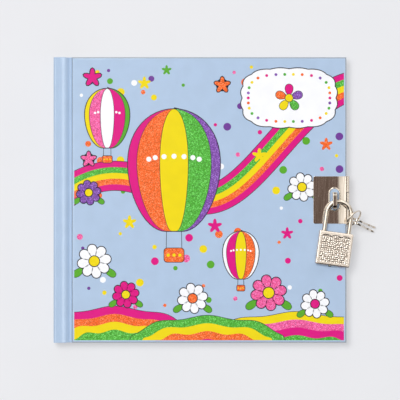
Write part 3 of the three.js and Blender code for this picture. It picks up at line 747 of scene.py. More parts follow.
@dataclass
class Case:
    """The boards and the printed covering that wraps them."""

    spine: float = -79.0
    strip: float = -72.2
    board: float = -69.2
    fore: float = 79.0
    half: float = 77.0
    thickness: float = 2.7
    front: float = 15.1
    top: float = 17.8
    groove_depth: float = 1.55
    skin: float = 0.25
    edge: float = 1.3
    inner_edge: float = 0.3
    turn_in: float = 14.0
    mitre_inset: float = 0.5
    roll: float = 0.9
    strip_flat: float = 4.6
    dish: float = 0.13
    end_edge: float = 0.25
    crease: float = 0.12
    blue: bpy.types.Material = field(init=False)

    def build(self) -> None:
        """Build the covering of both covers, the joint strips, the grooves and the spine."""
        self.blue = COVER_BLUE.material()
        self.cover("front_cover_wrap", self.front, True, "front_cover", "front_cover_covering")
        self.cover("back_cover_wrap", 0.0, False, "back_case", "back_cover_covering")
        self.strip_wrap("front_joint_wrap", True, "front_joint_strip", "front_joint_covering")
        self.strip_wrap("back_joint_wrap", False, "back_case", "back_joint_covering")
        self.groove("front_groove", True)
        self.groove("back_groove", False)
        self.spine_wrap()

    def cover(self, name: str, low: float, outside_up: bool, body: str, node: str) -> None:
        """Wrap one board: a rounded outside, and the turned-in margin inside.

        Args:
            name: The piece's name.
            low: Height of its underside.
            outside_up: Whether the printed face points up.
            body: The body it rides on.
            node: The CAD node it replaces.
        """
        high = low + self.thickness
        piece = new_box(name, (self.board, -self.half, low), (self.fore, self.half, high))
        outside, inside = (high, low) if outside_up else (low, high)
        with editing(piece):
            pick_edges(piece, lambda p, d: abs(p.z - outside * MM) < TOUCHING)
            bpy.ops.mesh.bevel(offset=self.edge * MM, segments=6)
            pick_edges(piece, lambda p, d: abs(p.z - inside * MM) < TOUCHING)
            bpy.ops.mesh.bevel(offset=self.inner_edge * MM, segments=3)
            pick_faces(piece, lambda p, n: abs(p.z - inside * MM) < TOUCHING)
            bpy.ops.mesh.inset(thickness=self.turn_in * MM)
            step = self.skin if outside_up else -self.skin
            bpy.ops.mesh.extrude_region_move(
                TRANSFORM_OT_translate={"value": (0, 0, step * MM)}
            )
            bpy.ops.mesh.select_all(action="SELECT")
            bpy.ops.mesh.normals_make_consistent(inside=False)
        smooth(piece)
        dress(piece, body, self.blue, "laminated_paper", node)
        self.turn_in_mitres(name, body, inside, -1 if outside_up else 1)

    def turn_in_mitres(self, name: str, body: str, inside: float, out: int) -> None:
        """Lay the folded corners, where two turned-in margins overlap.

        Args:
            name: Name of the wrap.
            body: The body they ride on.
            inside: Height of the board's inner face.
            out: 1 or -1, the way that face points.
        """
        near = self.turn_in - 0.6
        corners = []
        for side in (-1, 1):
            edge, point = self.fore - self.mitre_inset, side * (self.half - self.mitre_inset)
            outline = [(edge, point), (edge - near, point), (edge - 0.4, point - side * near)]
            low, high = sorted((inside - out * 0.05, inside + out * 0.07))
            corners.append(new_prism(f"{name}_mitres", outline, low, high))
        piece = join_pieces(*corners)
        round_edges(piece, 0.04, 2)
        dress(piece, body, self.blue, "laminated_paper")

    def strip_wrap(self, name: str, outside_up: bool, body: str, node: str) -> None:
        """Wrap a joint strip, rounded where it meets the spine and the groove.

        Args:
            name: The piece's name.
            outside_up: Whether the printed face points up.
            body: The body it rides on.
            node: The CAD node it replaces.
        """
        outline = [(self.spine, 0.0), (self.strip, 0.0)]
        outline += arc(self.strip - self.roll, self.thickness - self.roll, self.roll, 0, 90, 5)
        steps = 8
        for i in range(1, steps):
            sag = self.dish * math.sin(math.pi * (i / steps) ** 0.75) ** 0.8
            x = self.strip - self.roll - self.strip_flat * i / steps
            outline.append((x, self.thickness - sag))
        outline += arc(self.spine + self.edge, self.thickness - self.edge, self.edge, 90, 180, 8)
        base, turn = (self.front, 1) if outside_up else (self.thickness, -1)
        placed = [(x, base + turn * z) for x, z in outline]
        piece = new_prism(name, placed, -self.half, self.half, Plane.XZ)
        with editing(piece):
            pick_edges(piece, lambda p, d: abs(abs(p.y) - self.half * MM) < TOUCHING)
            bpy.ops.mesh.bevel(offset=self.end_edge * MM, segments=3)
        smooth(piece)
        dress(piece, body, self.blue, "laminated_paper", node)

    def groove(self, name: str, outside_up: bool) -> None:
        """Lay the covering that dips between a joint strip and its board.

        Args:
            name: The piece's name.
            outside_up: Whether it belongs to the front cover.
        """
        steps = 16
        left, right = self.strip - 0.55, self.board + 0.5
        upper = []
        for i in range(steps + 1):
            share = i / steps
            dip = math.sin(math.pi * share ** 1.7) ** 1.1
            x = left + (right - left) * share
            upper.append((x, self.thickness - 0.02 - self.groove_depth * dip))
        lower = [(x, z - self.skin) for x, z in reversed(upper)]
        base, turn = (self.front, 1) if outside_up else (self.thickness, -1)
        placed = [(x, base + turn * z) for x, z in upper + lower]
        piece = new_prism(name, placed, -self.half + 0.15, self.half - 0.15, Plane.XZ)
        smooth(piece, 50)
        if outside_up:
            piece.data.materials.append(self.blue)
            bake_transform(piece)
        else:
            dress(piece, "back_case", self.blue, "laminated_paper")

    def spine_wrap(self) -> None:
        """Wrap the spine, with the crease on which the front cover turns."""
        low, high = self.thickness - 0.05, self.front - 0.1
        piece = new_box(
            "spine_wrap", (self.spine, -self.half, low), (self.spine + 0.6, self.half, high)
        )
        with editing(piece):
            pick_faces(piece, lambda p, n: n.x < -0.9)
            bpy.ops.mesh.inset(thickness=0.35 * MM)
            bpy.ops.transform.translate(value=(-0.06 * MM, 0, 0))
        round_edges(piece, 0.12, 3, 25)
        smooth(piece)
        dress(piece, "back_case", self.blue, "laminated_paper", "spine_covering")
        x0, x1 = self.spine - 0.03, self.spine + 0.3
        z0, z1 = self.front - 0.9, self.front + 0.9
        steps = 12
        outline = [
            (x0 + self.crease * math.sin(math.pi * i / steps), z0 + (z1 - z0) * i / steps)
            for i in range(steps + 1)
        ]
        outline += [(x1, z1), (x1, z0)]
        crease = new_prism("spine_crease", outline, -self.half + 0.1, self.half - 0.1, Plane.XZ)
        smooth(crease, 50)
        crease.data.materials.append(self.blue)
        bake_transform(crease)


@dataclass
class Leaves:
    """The paper inside: pastedowns, flyleaves, the page block and the first leaves."""

    binding: float = -75.3
    bend: float = -71.3
    fold: float = -72.3
    end: float = 75.6
    half: float = 73.5
    pages: float = 3.1
    turning: float = 13.54
    flyleaf: float = 14.7
    inner: float = 14.9
    sections: int = 9
    ragged: float = 0.22
    parting: float = 0.16
    bend_width: float = 5.0
    band_foot: float = 3.38
    band_height: float = 9.4
    band_wire: float = 0.62

    def build(self) -> None:
        """Build the page block, the leaves that turn and the sheets inside the covers."""
        self.page_block()
        self.turning_leaves()
        self.front_flyleaf()
        for node in ("back_pastedown", "front_pastedown", "back_flyleaf"):
            repaint(node, ENDPAPER.material())
        repaint("spine_lining", LINING_CLOTH.material())
        self.sewn_bands()
        for node in NODES_OF_BOARD:
            repaint(node, GREYBOARD.material())

    def page_block(self) -> None:
        """Build the fixed pages as sections whose edges are slightly uneven."""
        rng = random.Random(7)
        outline = [(self.binding, self.pages)]
        height = self.turning - self.pages
        ridges = 4
        rows = self.sections * ridges
        for i in range(rows + 1):
            back = rng.uniform(0.0, self.ragged)
            parting = self.parting if i % ridges == 0 else 0.0
            outline.append((self.end - back - parting, self.pages + height * i / rows))
        outline += [(self.bend, self.turning), (self.bend, self.flyleaf)]
        outline.append((self.binding, self.flyleaf))
        piece = new_prism("page_sections", outline, -self.half, self.half, Plane.XZ)
        dress(piece, "back_case", LEAF_EDGES.material(), "leaves", "page_block")
        piece.data.materials.append(RULED_LEAF.material())
        for face in piece.data.polygons:
            face.material_index = 1 if abs(face.normal.z) > LYING else 0

    def turning_leaves(self) -> None:
        """Build the leaves that turn together, as a flat sheet with close divisions near the
        binding.
        """
        low, high = self.turning + 0.02, self.flyleaf - 0.03
        piece = self.bent_sheet("ruled_leaves", self.bend - 1.2, low, high, 24)
        round_edges(piece, 0.1, 2, 60)
        piece.data.materials.append(RULED_LEAF.material())
        piece.data.materials.append(LEAF_EDGES.material())
        for face in piece.data.polygons:
            face.material_index = 0 if abs(face.normal.z) > LYING else 1
        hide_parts("first_leaves")
        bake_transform(piece)

    def front_flyleaf(self) -> None:
        """Build the loose endpaper, tipped to the pages along its inner edge."""
        low, high = self.flyleaf + 0.02, self.inner - 0.02
        piece = self.bent_sheet("loose_endpaper", self.fold - 1.2, low, high, 20)
        piece.data.materials.append(ENDPAPER.material())
        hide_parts("front_flyleaf")
        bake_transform(piece)

    def bent_sheet(
        self, name: str, x0: float, low: float, high: float, steps: int
    ) -> bpy.types.Object:
        """Build a sheet with close divisions along its bend.

        Args:
            name: The sheet's name.
            x0: Its inner edge.
            low: Its lower face.
            high: Its upper face.
            steps: Number of divisions along the bend.

        Returns:
            The sheet.
        """
        width = self.bend_width
        bend = [x0 + width * i / steps for i in range(steps)]
        far = [x0 + width + (self.end - 0.1 - x0 - width) * i / 6 for i in range(7)]
        row = bend + far
        outline = [(x, low) for x in row] + [(x, high) for x in reversed(row)]
        return new_prism(name, outline, -self.half, self.half, Plane.XZ)

    def sewn_bands(self) -> None:
        """Sew the striped bands at head and tail over their cords."""
        material = SEWN_BAND.material()
        for name, side in (("head_band", 1), ("tail_band", -1)):
            x, y = self.binding + 0.7, side * (self.half + 0.7)
            turns = 22
            path = [
                Vector((
                    x + 0.04 * math.sin(i * 2.1),
                    y,
                    self.band_foot + self.band_height * i / turns,
                ))
                for i in range(turns + 1)
            ]
            piece = new_wire(f"{name}_sewing", path, self.band_wire)
            smooth(piece, 60)
            dress(piece, "back_case", material, "binding_cloth", name)


NODES_OF_BOARD = (
    "back_cover_board",
    "back_joint_board",
    "front_cover_board",
    "front_joint_board",
    "spine_board",
)


def repaint(node: str, material: bpy.types.Material) -> None:
    """Give a CAD node that keeps its shape a better material.

    Args:
        node: The node's name.
        material: The material.
    """
    piece = bpy.data.objects[node]
    for index in range(len(piece.material_slots)):
        piece.material_slots[index].material = material
    if not piece.material_slots:
        piece.data.materials.append(material)


@dataclass
class Hasp:
    """The nickel hasp: a strap from the back cover, a pin and a slotted flap."""

    pin_x: float = 79.75
    pin_z: float = 18.6
    eye: float = 0.7
    sheet: float = 0.4
    half: float = 12.8
    free: float = 61.05
    middle: float = 3.9
    gap: float = 0.3
    slot_x: float = 72.45
    slot_y: float = 0.3
    slot_width: float = 4.9
    slot_length: float = 11.6
    rim: float = 0.75
    corner: float = 1.0
    strap_x: float = 80.05
    bend: float = 0.7
    fall_from: float = 73.7
    fall: float = 0.011
    foot: float = 67.0
    rivet_x: float = 72.5
    rivet_y: float = 7.0
    rivet: float = 1.9
    rivet_z: float = 0.28

    def build(self) -> None:
        """Build the flap and the strap, and finish the pin and rivets."""
        self.nickel = SHEET_NICKEL.material()
        self.flap()
        self.strap()
        steel = STEEL.material()
        for node in ("hasp_pin", "hasp_rivet_1", "hasp_rivet_2"):
            repaint(node, steel)

    def slot_outline(self, grow: float) -> list[Point]:
        """Outline the slot.

        Args:
            grow: Margin by which it is grown.

        Returns:
            The outline.
        """
        x, y = self.slot_width / 2 + grow, self.slot_length / 2 + grow
        return rounded_box(
            self.slot_x - x, self.slot_x + x, self.slot_y - y, self.slot_y + y, x - 0.02, 10
        )

    def curl(self, start: float, end: float, tail: list[Point]) -> list[Point]:
        """Draw an eye rolled round the pin, in x and z.

        Args:
            start: Angle at which the sheet meets the eye, in degrees.
            end: Angle at which the curl ends.
            tail: The sheet's own end points, from its inner to its outer face.

        Returns:
            The closed outline.
        """
        outer = arc(self.pin_x, self.pin_z, self.eye, start, end, 22)
        inner = arc(self.pin_x, self.pin_z, self.eye - self.sheet, end, start, 22)
        return outer + inner + tail

    def flap(self) -> None:
        """Build the flap: a plate with a rimmed slot and two rolled eyes."""
        low = self.pin_z - self.eye
        edge = self.pin_x - self.eye - self.gap
        outline = [(edge, -self.half), (edge, self.half)]
        r = self.corner
        outline += arc(self.free + r, self.half - r, r, 90, 180, 6)
        outline += arc(self.free + r, -self.half + r, r, 180, 270, 6)
        plate = new_prism("hasp_plate", outline, low, low + self.sheet)
        cut_away(plate, new_prism("slot_tool", self.slot_outline(0), low - 1, low + 2))
        round_edges(plate, 0.14, 3)
        self.crown(plate, low + self.sheet / 2)
        smooth(plate)
        dress(plate, "hasp_flap", self.nickel, "nickel_sheet", "hasp_flap")
        eyes = []
        inner = self.middle + self.gap
        for y0, y1 in ((inner, self.half), (-self.half, -inner)):
            tail = [(edge - 0.2, low + self.sheet), (edge - 0.2, low)]
            eyes.append(new_prism("flap_eyes", self.curl(-90, 205, tail), y0, y1, Plane.XZ))
        rolled = join_pieces(*eyes)
        round_edges(rolled, 0.06, 2, 60)
        smooth(rolled, 40)
        dress(rolled, "hasp_flap", self.nickel, "nickel_sheet")
        crest = low + self.sheet + 0.2
        path = [Vector((x, y, crest)) for x, y in self.slot_outline(self.rim / 2)]
        rim = new_wire("slot_rim", path, self.rim / 2, closed=True)
        with editing(rim):
            bpy.ops.mesh.select_all(action="SELECT")
            centre = (self.slot_x * MM, self.slot_y * MM, (low + self.sheet) * MM)
            bpy.ops.transform.resize(value=(1, 1, 1.15), center_override=centre)
        smooth(rim, 80)
        dress(rim, "hasp_flap", self.nickel, "nickel_sheet")

    def crown(self, plate: bpy.types.Object, middle: float) -> None:
        """Let the plate's upper face fall away towards the pin.

        Args:
            plate: The flap's plate.
            middle: Height between its two faces.
        """
        cuts, step = 9, 0.6
        with editing(plate):
            for index in range(cuts):
                bpy.ops.mesh.select_all(action="SELECT")
                cut = ((self.fall_from + step * index) * MM, 0, 0)
                bpy.ops.mesh.bisect(plane_co=cut, plane_no=(1, 0, 0))
        for vertex in plate.data.vertices:
            past = vertex.co.x / MM - self.fall_from
            if past > 0 and vertex.co.z > middle * MM:
                vertex.co.z -= self.fall * past * past * MM

    def strap(self) -> None:
        """Build the strap, bent up from its foot and rolled round the pin."""
        outside = self.strap_x + self.sheet
        top = self.pin_z - self.eye - self.gap
        outline = [(self.foot, 0.0)] + arc(outside - self.bend, self.bend, self.bend, -90, 0, 6)
        outline += [(outside, top), (self.strap_x, top)]
        outline += arc(self.strap_x - 0.2, self.sheet + 0.2, 0.2, 0, -90, 3)
        outline.append((self.foot, self.sheet))
        body = new_prism("hasp_bracket", outline, -self.half, self.half, Plane.XZ)
        tail = [(self.strap_x, top - 1.2), (outside, top - 1.2)]
        neck = new_prism("neck", self.curl(0, 285, tail), -self.middle, self.middle, Plane.XZ)
        piece = join_pieces(body, neck)
        round_edges(piece, 0.08, 2, 50)
        smooth(piece, 40)
        dress(piece, "back_case", self.nickel, "nickel_sheet", "hasp_strap")
        heads = []
        for y in (-self.rivet_y, self.rivet_y):
            clear_selection()
            bpy.ops.mesh.primitive_uv_sphere_add(
                segments=24,
                ring_count=12,
                radius=self.rivet * MM,
                location=(self.rivet_x * MM, y * MM, self.rivet_z * MM),
            )
            bpy.context.object.scale = (1, 1, 0.14)
            heads.append(take_new("foot_rivet_heads"))
        rivets = join_pieces(*heads)
        smooth(rivets, 80)
        dress(rivets, "back_case", STEEL.material(), "bright_steel")


@dataclass
class Staple:
    """The strip loop that stands through the cover and the hasp's slot."""

    x: float = 72.45
    y: float = -0.3
    half: float = 4.55
    sheet: float = 0.9
    width: float = 2.4
    top: float = 24.15
    foot_z: float = 15.35
    foot: float = 3.0
    outer: float = 2.15
    inner: float = 1.25

    def build(self) -> None:
        """Bend the strip into a loop with two feet, and round its edges."""
        outer, inner = self.outer, self.inner
        left, right = self.y - self.half, self.y + self.half
        outline = [(left - self.foot, self.foot_z), (left + self.sheet, self.foot_z)]
        outline += arc(left + self.sheet + inner, self.top - outer, inner, 180, 90, 8)
        outline += arc(right - self.sheet - inner, self.top - outer, inner, 90, 0, 8)
        outline += [(right - self.sheet, self.foot_z), (right + self.foot, self.foot_z)]
        foot_top = self.foot_z + self.sheet
        outline += [(right + self.foot, foot_top), (right, foot_top)]
        outline += arc(right - outer, self.top - outer, outer, 0, 90, 10)
        outline += arc(left + outer, self.top - outer, outer, 90, 180, 10)
        outline += [(left, foot_top), (left - self.foot, foot_top)]
        piece = new_prism(
            "staple_loop", outline, self.x - self.width / 2, self.x + self.width / 2, Plane.YZ
        )
        round_edges(piece, 0.42, 5, 50)
        smooth(piece, 45)
        dress(piece, "front_cover", WIRE_NICKEL.material(), "nickel_sheet", "staple")


@dataclass
class Padlock:
    """A small stamped padlock, drawn in its own frame and then put in its place."""

    width: float = 18.7
    height: float = 18.3
    thickness: float = 5.2
    edge: float = 0.8
    corner: float = 0.9
    border: float = 1.25
    parting: float = 0.05
    plug_bore: float = 2.1
    slack: float = 0.2
    field_corner: float = 0.8
    scallops: int = 3
    scallop_rise: float = 0.75
    line: float = 0.17
    bead: float = 0.16
    pitch: float = 1.1
    jitter: float = 0.28
    pebble: float = 0.16
    gap_depth: float = 0.035
    span: float = 13.4
    wire: float = 1.25
    rise: float = 9.7
    long_leg: float = 11.0
    short_leg: float = 7.5
    frame: Matrix = field(init=False)

    def build(self) -> None:
        """Build both stamped shells, the face, the shackle, and finish the works inside."""
        axes = (
            Vector((0.989016, -0.134618, -0.061043)),
            Vector((0.135702, 0.990651, 0.013962)),
            Vector((0.058592, -0.022092, 0.998038)),
        )
        self.frame = Matrix([(*row,) for row in zip(*axes)]).to_4x4()
        self.frame.translation = Vector((0.073288, -0.017198, 0.021448))
        self.nickel = LOCK_NICKEL.material()
        self.shells()
        self.faces()
        self.shackle()
        steel = STEEL.material()
        repaint("padlock_plug", steel)
        repaint("padlock_latch", steel)
        repaint("padlock_latch_spring", SPRING_STEEL.material())

    def put(self, piece: bpy.types.Object) -> bpy.types.Object:
        """Move a piece from the padlock's own frame into the diary's.

        Args:
            piece: The piece.

        Returns:
            The same piece.
        """
        activate(piece)
        piece.matrix_world = self.frame
        bpy.ops.object.transform_apply(location=True, rotation=True, scale=True)
        return piece

    def shells(self) -> None:
        """Build the two halves of the body, rounded at their edges and open for the shackle and
        plug.
        """
        x, depth = self.width / 2, self.thickness / 2
        for side, node in ((1, "padlock_front_shell"), (-1, "padlock_back_shell")):
            outline = rounded_box(-x, x, -self.height, 0, self.corner, 6)
            low, high = sorted((side * self.parting, side * depth))
            half = new_prism(node.replace("shell", "case"), outline, low, high)
            with editing(half):
                pick_edges(half, lambda p, d: abs(p.z - side * depth * MM) < TOUCHING)
                bpy.ops.mesh.bevel(offset=self.edge * MM, segments=6)
                pick_edges(half, lambda p, d: abs(p.z - side * self.parting * MM) < TOUCHING)
                bpy.ops.mesh.bevel(offset=0.08 * MM, segments=2)
            self.bore(half)
            smooth(half, 40)
            self.put(half)
            dress(half, "padlock_body", self.nickel, "padlock_nickel", node)

    def bore(self, shell: bpy.types.Object) -> None:
        """Bore a shell for the shackle's legs and the plug.

        Args:
            shell: The half of the body.
        """
        tools = []
        for x, radius, y0, y1 in (
            (-self.span / 2, self.wire + self.slack, -12, 1),
            (self.span / 2, self.wire + self.slack, -9, 1),
            (0, self.plug_bore, -self.height - 1, -9.2),
        ):
            clear_selection()
            bpy.ops.mesh.primitive_cylinder_add(
                vertices=40,
                radius=radius * MM,
                depth=(y1 - y0) * MM,
                location=(x * MM, (y0 + y1) / 2 * MM, 0),
                rotation=(math.pi / 2, 0, 0),
            )
            tools.append(take_new("bore"))
        cut_away(shell, join_pieces(*tools))

    def field_outline(self, grow: float = 0.0) -> list[Point]:
        """Outline the sunk field, whose upper side has humps.

        Args:
            grow: Margin by which it is grown.

        Returns:
            The outline.
        """
        x = self.width / 2 - self.edge - self.border + 0.45 + grow
        bottom = -self.height + self.edge + self.border - 0.35 - grow
        top = -self.edge - self.border - 1.0 + grow
        r = self.field_corner
        outline = arc(x - r, bottom + r, r, -90, 0, 5)
        step = 2 * x / self.scallops
        rise = self.scallop_rise * 1.6
        for k in range(self.scallops):
            centre = x - (k + 0.5) * step
            outline += [
                (centre + step / 2 * math.cos(a), top + rise * math.sin(a))
                for a in (math.radians(12 + 156 * i / 12) for i in range(13))
            ]
        return outline + arc(-x + r, bottom + r, r, 180, 270, 5)

    def faces(self) -> None:
        """Build each face's raised border and the pebbled field inside it."""
        x = self.width / 2 - self.edge
        for side, name in ((1, "front"), (-1, "back")):
            top = self.thickness / 2
            outline = rounded_box(-x, x, -self.height + self.edge, -self.edge, 0.6, 6)
            border = new_prism(f"padlock_{name}_border", outline, top - 0.12, top + 0.16)
            cut_away(border, new_prism("field_tool", self.field_outline(), top - 1, top + 1))
            round_edges(border, 0.12, 3, 50)
            smooth(border, 40)
            rim = [Vector((u, v, top + 0.06)) for u, v in self.field_outline(0.35)]
            bead = new_wire("bead", rim, self.bead, closed=True)
            smooth(bead, 80)
            border = join_pieces(border, bead)
            # This line along the field's humps is painted shade at the step, in a near-black
            # finish.
            humps = [Vector((u, v, top + 0.1)) for u, v in self.field_outline(-0.05)[6:-6]]
            line = new_wire(f"padlock_{name}_line", humps, self.line)
            smooth(line, 80)
            field_piece = self.pebbles(name, top)
            # Field faces this low lie between the pebbles and get the painted shade.
            deep = (top + self.gap_depth) * MM
            gaps = [face.index for face in field_piece.data.polygons if face.center.z < deep]
            for piece in (border, field_piece, line):
                if side < 0:
                    activate(piece)
                    piece.matrix_world = Matrix.Rotation(math.pi, 4, "Y")
                    bpy.ops.object.transform_apply(location=True, rotation=True, scale=True)
                self.put(piece)
                finish = PAINTED_STEP_SHADE.material() if piece is line else self.nickel
                dress(piece, "padlock_body", finish, "padlock_nickel")
            field_piece.data.materials.append(PAINTED_GAP_SHADE.material())
            for index in gaps:
                field_piece.data.polygons[index].material_index = 1

    def pebbles(self, name: str, top: float) -> bpy.types.Object:
        """Build the field with its small stamped pebbles.

        Args:
            name: Which face it is for.
            top: Height of the face.

        Returns:
            The field, in the padlock's own frame.
        """
        outline = self.field_outline(0.12)
        low, high = outline[0][1], -self.edge - self.border + 0.4
        x = max(u for u, _ in outline)
        clear_selection()
        bpy.ops.mesh.primitive_grid_add(
            x_subdivisions=132,
            y_subdivisions=136,
            size=1,
            location=(0, (low + high) / 2 * MM, (top + 0.01) * MM),
        )
        bpy.context.object.scale = (2 * x * MM, (high - low) * MM, 1)
        piece = take_new(f"padlock_{name}_field")
        rng = random.Random(11)
        shift = self.jitter
        seeds = [
            (
                u * self.pitch + rng.uniform(-shift, shift),
                v * self.pitch + rng.uniform(-shift, shift),
                rng.uniform(0.6, 1.0),
            )
            for u in range(-15, 16)
            for v in range(-30, 2)
        ]
        lookup: dict[tuple[int, int], list[tuple[float, float, float]]] = {}
        for seed in seeds:
            lookup.setdefault((round(seed[0]), round(seed[1])), []).append(seed)
        for vertex in piece.data.vertices:
            u, v = vertex.co.x / MM, vertex.co.y / MM
            lift = 0.0
            for i in (-1, 0, 1):
                for j in (-1, 0, 1):
                    for su, sv, size in lookup.get((round(u) + i, round(v) + j), ()):
                        away = math.hypot(u - su, v - sv) / (0.6 * size)
                        lift = max(lift, size * (1 - away ** 3))
            vertex.co.z += self.pebble * max(0.0, lift) * MM
        apply_modifier(piece, "SOLIDIFY", thickness=0.06 * MM, offset=-1)
        smooth(piece, 60)
        return piece

    def shackle(self) -> None:
        """Bend the shackle's wire, and notch its short leg for the latch."""
        r = self.span / 2
        steps = 8
        long_side, short_side = self.long_leg + self.rise, self.short_leg + self.rise
        path = [Vector((-r, -self.long_leg + i * long_side / steps, 0)) for i in range(steps)]
        path += [Vector((u, v, 0)) for u, v in arc(0, self.rise, r, 180, 0, 40)]
        path += [Vector((r, self.rise - i * short_side / steps, 0)) for i in range(1, steps + 1)]
        piece = new_wire("shackle_bow", path, self.wire)
        inner = r - self.wire
        ramp = [(inner - 1, -2.25), (inner - 1, -8.5), (inner, -8.85)]
        ramp += [(inner + 1, -4.15), (inner + 1, -2.25)]
        cut_away(piece, new_prism("notch_tool", ramp, -3, 3))
        round_edges(piece, 0.08, 2, 50)
        smooth(piece, 45)
        self.put(piece)
        metal = WIRE_NICKEL.material()
        dress(piece, "padlock_shackle", metal, "padlock_nickel", "padlock_shackle")


@dataclass
class Keys:
    """Two flat keys on a wire ring round the shackle's right leg."""

    ring_centre: Vector = field(default_factory=lambda: Vector((82.75, -10.1, 18.95)))
    ring: float = 5.2
    wire: float = 0.45
    heading: float = 48.0
    lean: float = 26.0
    slope: float = 49.0
    headings: tuple[float, float] = (-25.0, -22.0)
    spacing: float = 1.8
    bow: float = 3.9
    bow_offset: float = 0.4
    hole: float = 1.5
    reach: float = 17.1
    shank: float = 1.6
    thickness: float = 1.0
    bites: tuple[float, float] = (0.52, 0.78)
    bite_width: float = 1.6
    bite_depths: tuple[float, float] = (0.9, 0.7)

    def build(self) -> None:
        """Build the ring and both keys."""
        turn, tip = math.radians(self.heading), math.radians(self.lean)
        along = Vector((math.cos(turn), math.sin(turn), 0))
        sideways = Vector((math.sin(turn), -math.cos(turn), 0))
        down = sideways * math.sin(tip) + Vector((0, 0, -math.cos(tip)))
        steps = 72
        path = []
        for i in range(steps):
            a = 2 * math.pi * i / steps
            path.append(self.ring_centre + (along * math.cos(a) + down * math.sin(a)) * self.ring)
        ring = new_wire("wire_ring", path, self.wire, closed=True)
        smooth(ring, 80)
        dress(ring, "key_ring", WIRE_NICKEL.material(), "bright_steel", "key_ring")
        hang = self.ring_centre + down * self.ring
        for index, degrees in enumerate(self.headings):
            self.key(index, math.radians(degrees), hang)

    def key(self, index: int, heading: float, hang: Vector) -> None:
        """Cut one key and hang it on the ring.

        Args:
            index: 0 or 1.
            heading: Direction of the key seen from above, in radians.
            hang: The ring's lowest point.
        """
        slope = math.radians(self.slope)
        flat = Vector((math.cos(heading), math.sin(heading), 0))
        out = flat * math.cos(slope) - Vector((0, 0, math.sin(slope)))
        rise = flat * math.sin(slope) + Vector((0, 0, math.cos(slope)))
        side = out.cross(rise)
        place = hang + side * ((0.5 - index) * self.spacing)
        piece = new_prism(
            f"cut_key_{index + 1}", self.outline(index), -self.thickness / 2, self.thickness / 2
        )
        cut_away(piece, new_prism("hole_tool", arc(0, 0, self.hole, 0, 350, 35), -2, 2))
        for face in (-1, 1):
            low, high = sorted((face * 0.3, face * 0.8))
            groove = rounded_box(self.bow + 0.6, self.reach + 1, -0.15, 0.65, 0.2, 3)
            cut_away(piece, new_prism("groove_tool", groove, low, high))
        round_edges(piece, 0.1, 2, 50)
        smooth(piece, 40)
        frame = Matrix([(*row,) for row in zip(out, rise, side)]).to_4x4()
        frame.translation = place * MM
        activate(piece)
        piece.matrix_world = frame
        bpy.ops.object.transform_apply(location=True, rotation=True, scale=True)
        node = f"key_{index + 1}"
        dress(piece, node, SHEET_NICKEL.material(), "padlock_nickel", node)

    def outline(self, index: int) -> list[Point]:
        """Outline a key: bow, shoulder, shank, tip and bites.

        Args:
            index: 0 or 1; the second key's bites are less deep.

        Returns:
            The outline.
        """
        y = self.shank
        start = math.degrees(math.asin(y / self.bow))
        points = arc(self.bow_offset, 0, self.bow, start, 360 - start, 40)
        depth = y * self.bite_depths[index]
        for share in self.bites:
            x = share * self.reach
            far = x + self.bite_width
            points += [(x, -y), (x, -y + depth), (far, -y + depth), (far, -y)]
        points += [(self.reach - 1.0, -y), (self.reach, -y + 1.1)]
        points += [(self.reach, y - 0.6), (self.reach - 0.5, y)]
        return [(u, -v) for u, v in reversed(points)]


class Ink(Enum):
    """The inks of the printed cover, each with its screen colour and whether it glitters."""

    LINE = ("120e20", False)
    WHITE = ("fbfbfd", False)
    YELLOW = ("f0d800", False)
    MAGENTA = ("dc0080", False)
    GREEN = ("55a522", False)
    PURPLE = ("6c3591", False)
    PINK = ("ec9cc6", False)
    ORANGE_GLITTER = ("ee5c06", True)
    GREEN_GLITTER = ("3f9e22", True)
    PINK_GLITTER = ("e5508f", True)
    PURPLE_GLITTER = ("713c98", True)

    def material(self) -> bpy.types.Material:
        """Build the ink's finish."""
        code, glitters = self.value
        name = f"ink_{self.name.lower()}"
        finish = Glitter(name, code) if glitters else PrintedPaper(name, code, mottle=0.02)
        return finish.material()


@dataclass
class Motif:
    """One printed shape: its ink, its outline and the order in which it was printed."""

    ink: Ink
    outline: list[Point]
    level: int


RAINBOW = (
    Ink.MAGENTA, Ink.ORANGE_GLITTER, Ink.YELLOW, Ink.GREEN_GLITTER, Ink.PURPLE_GLITTER
)


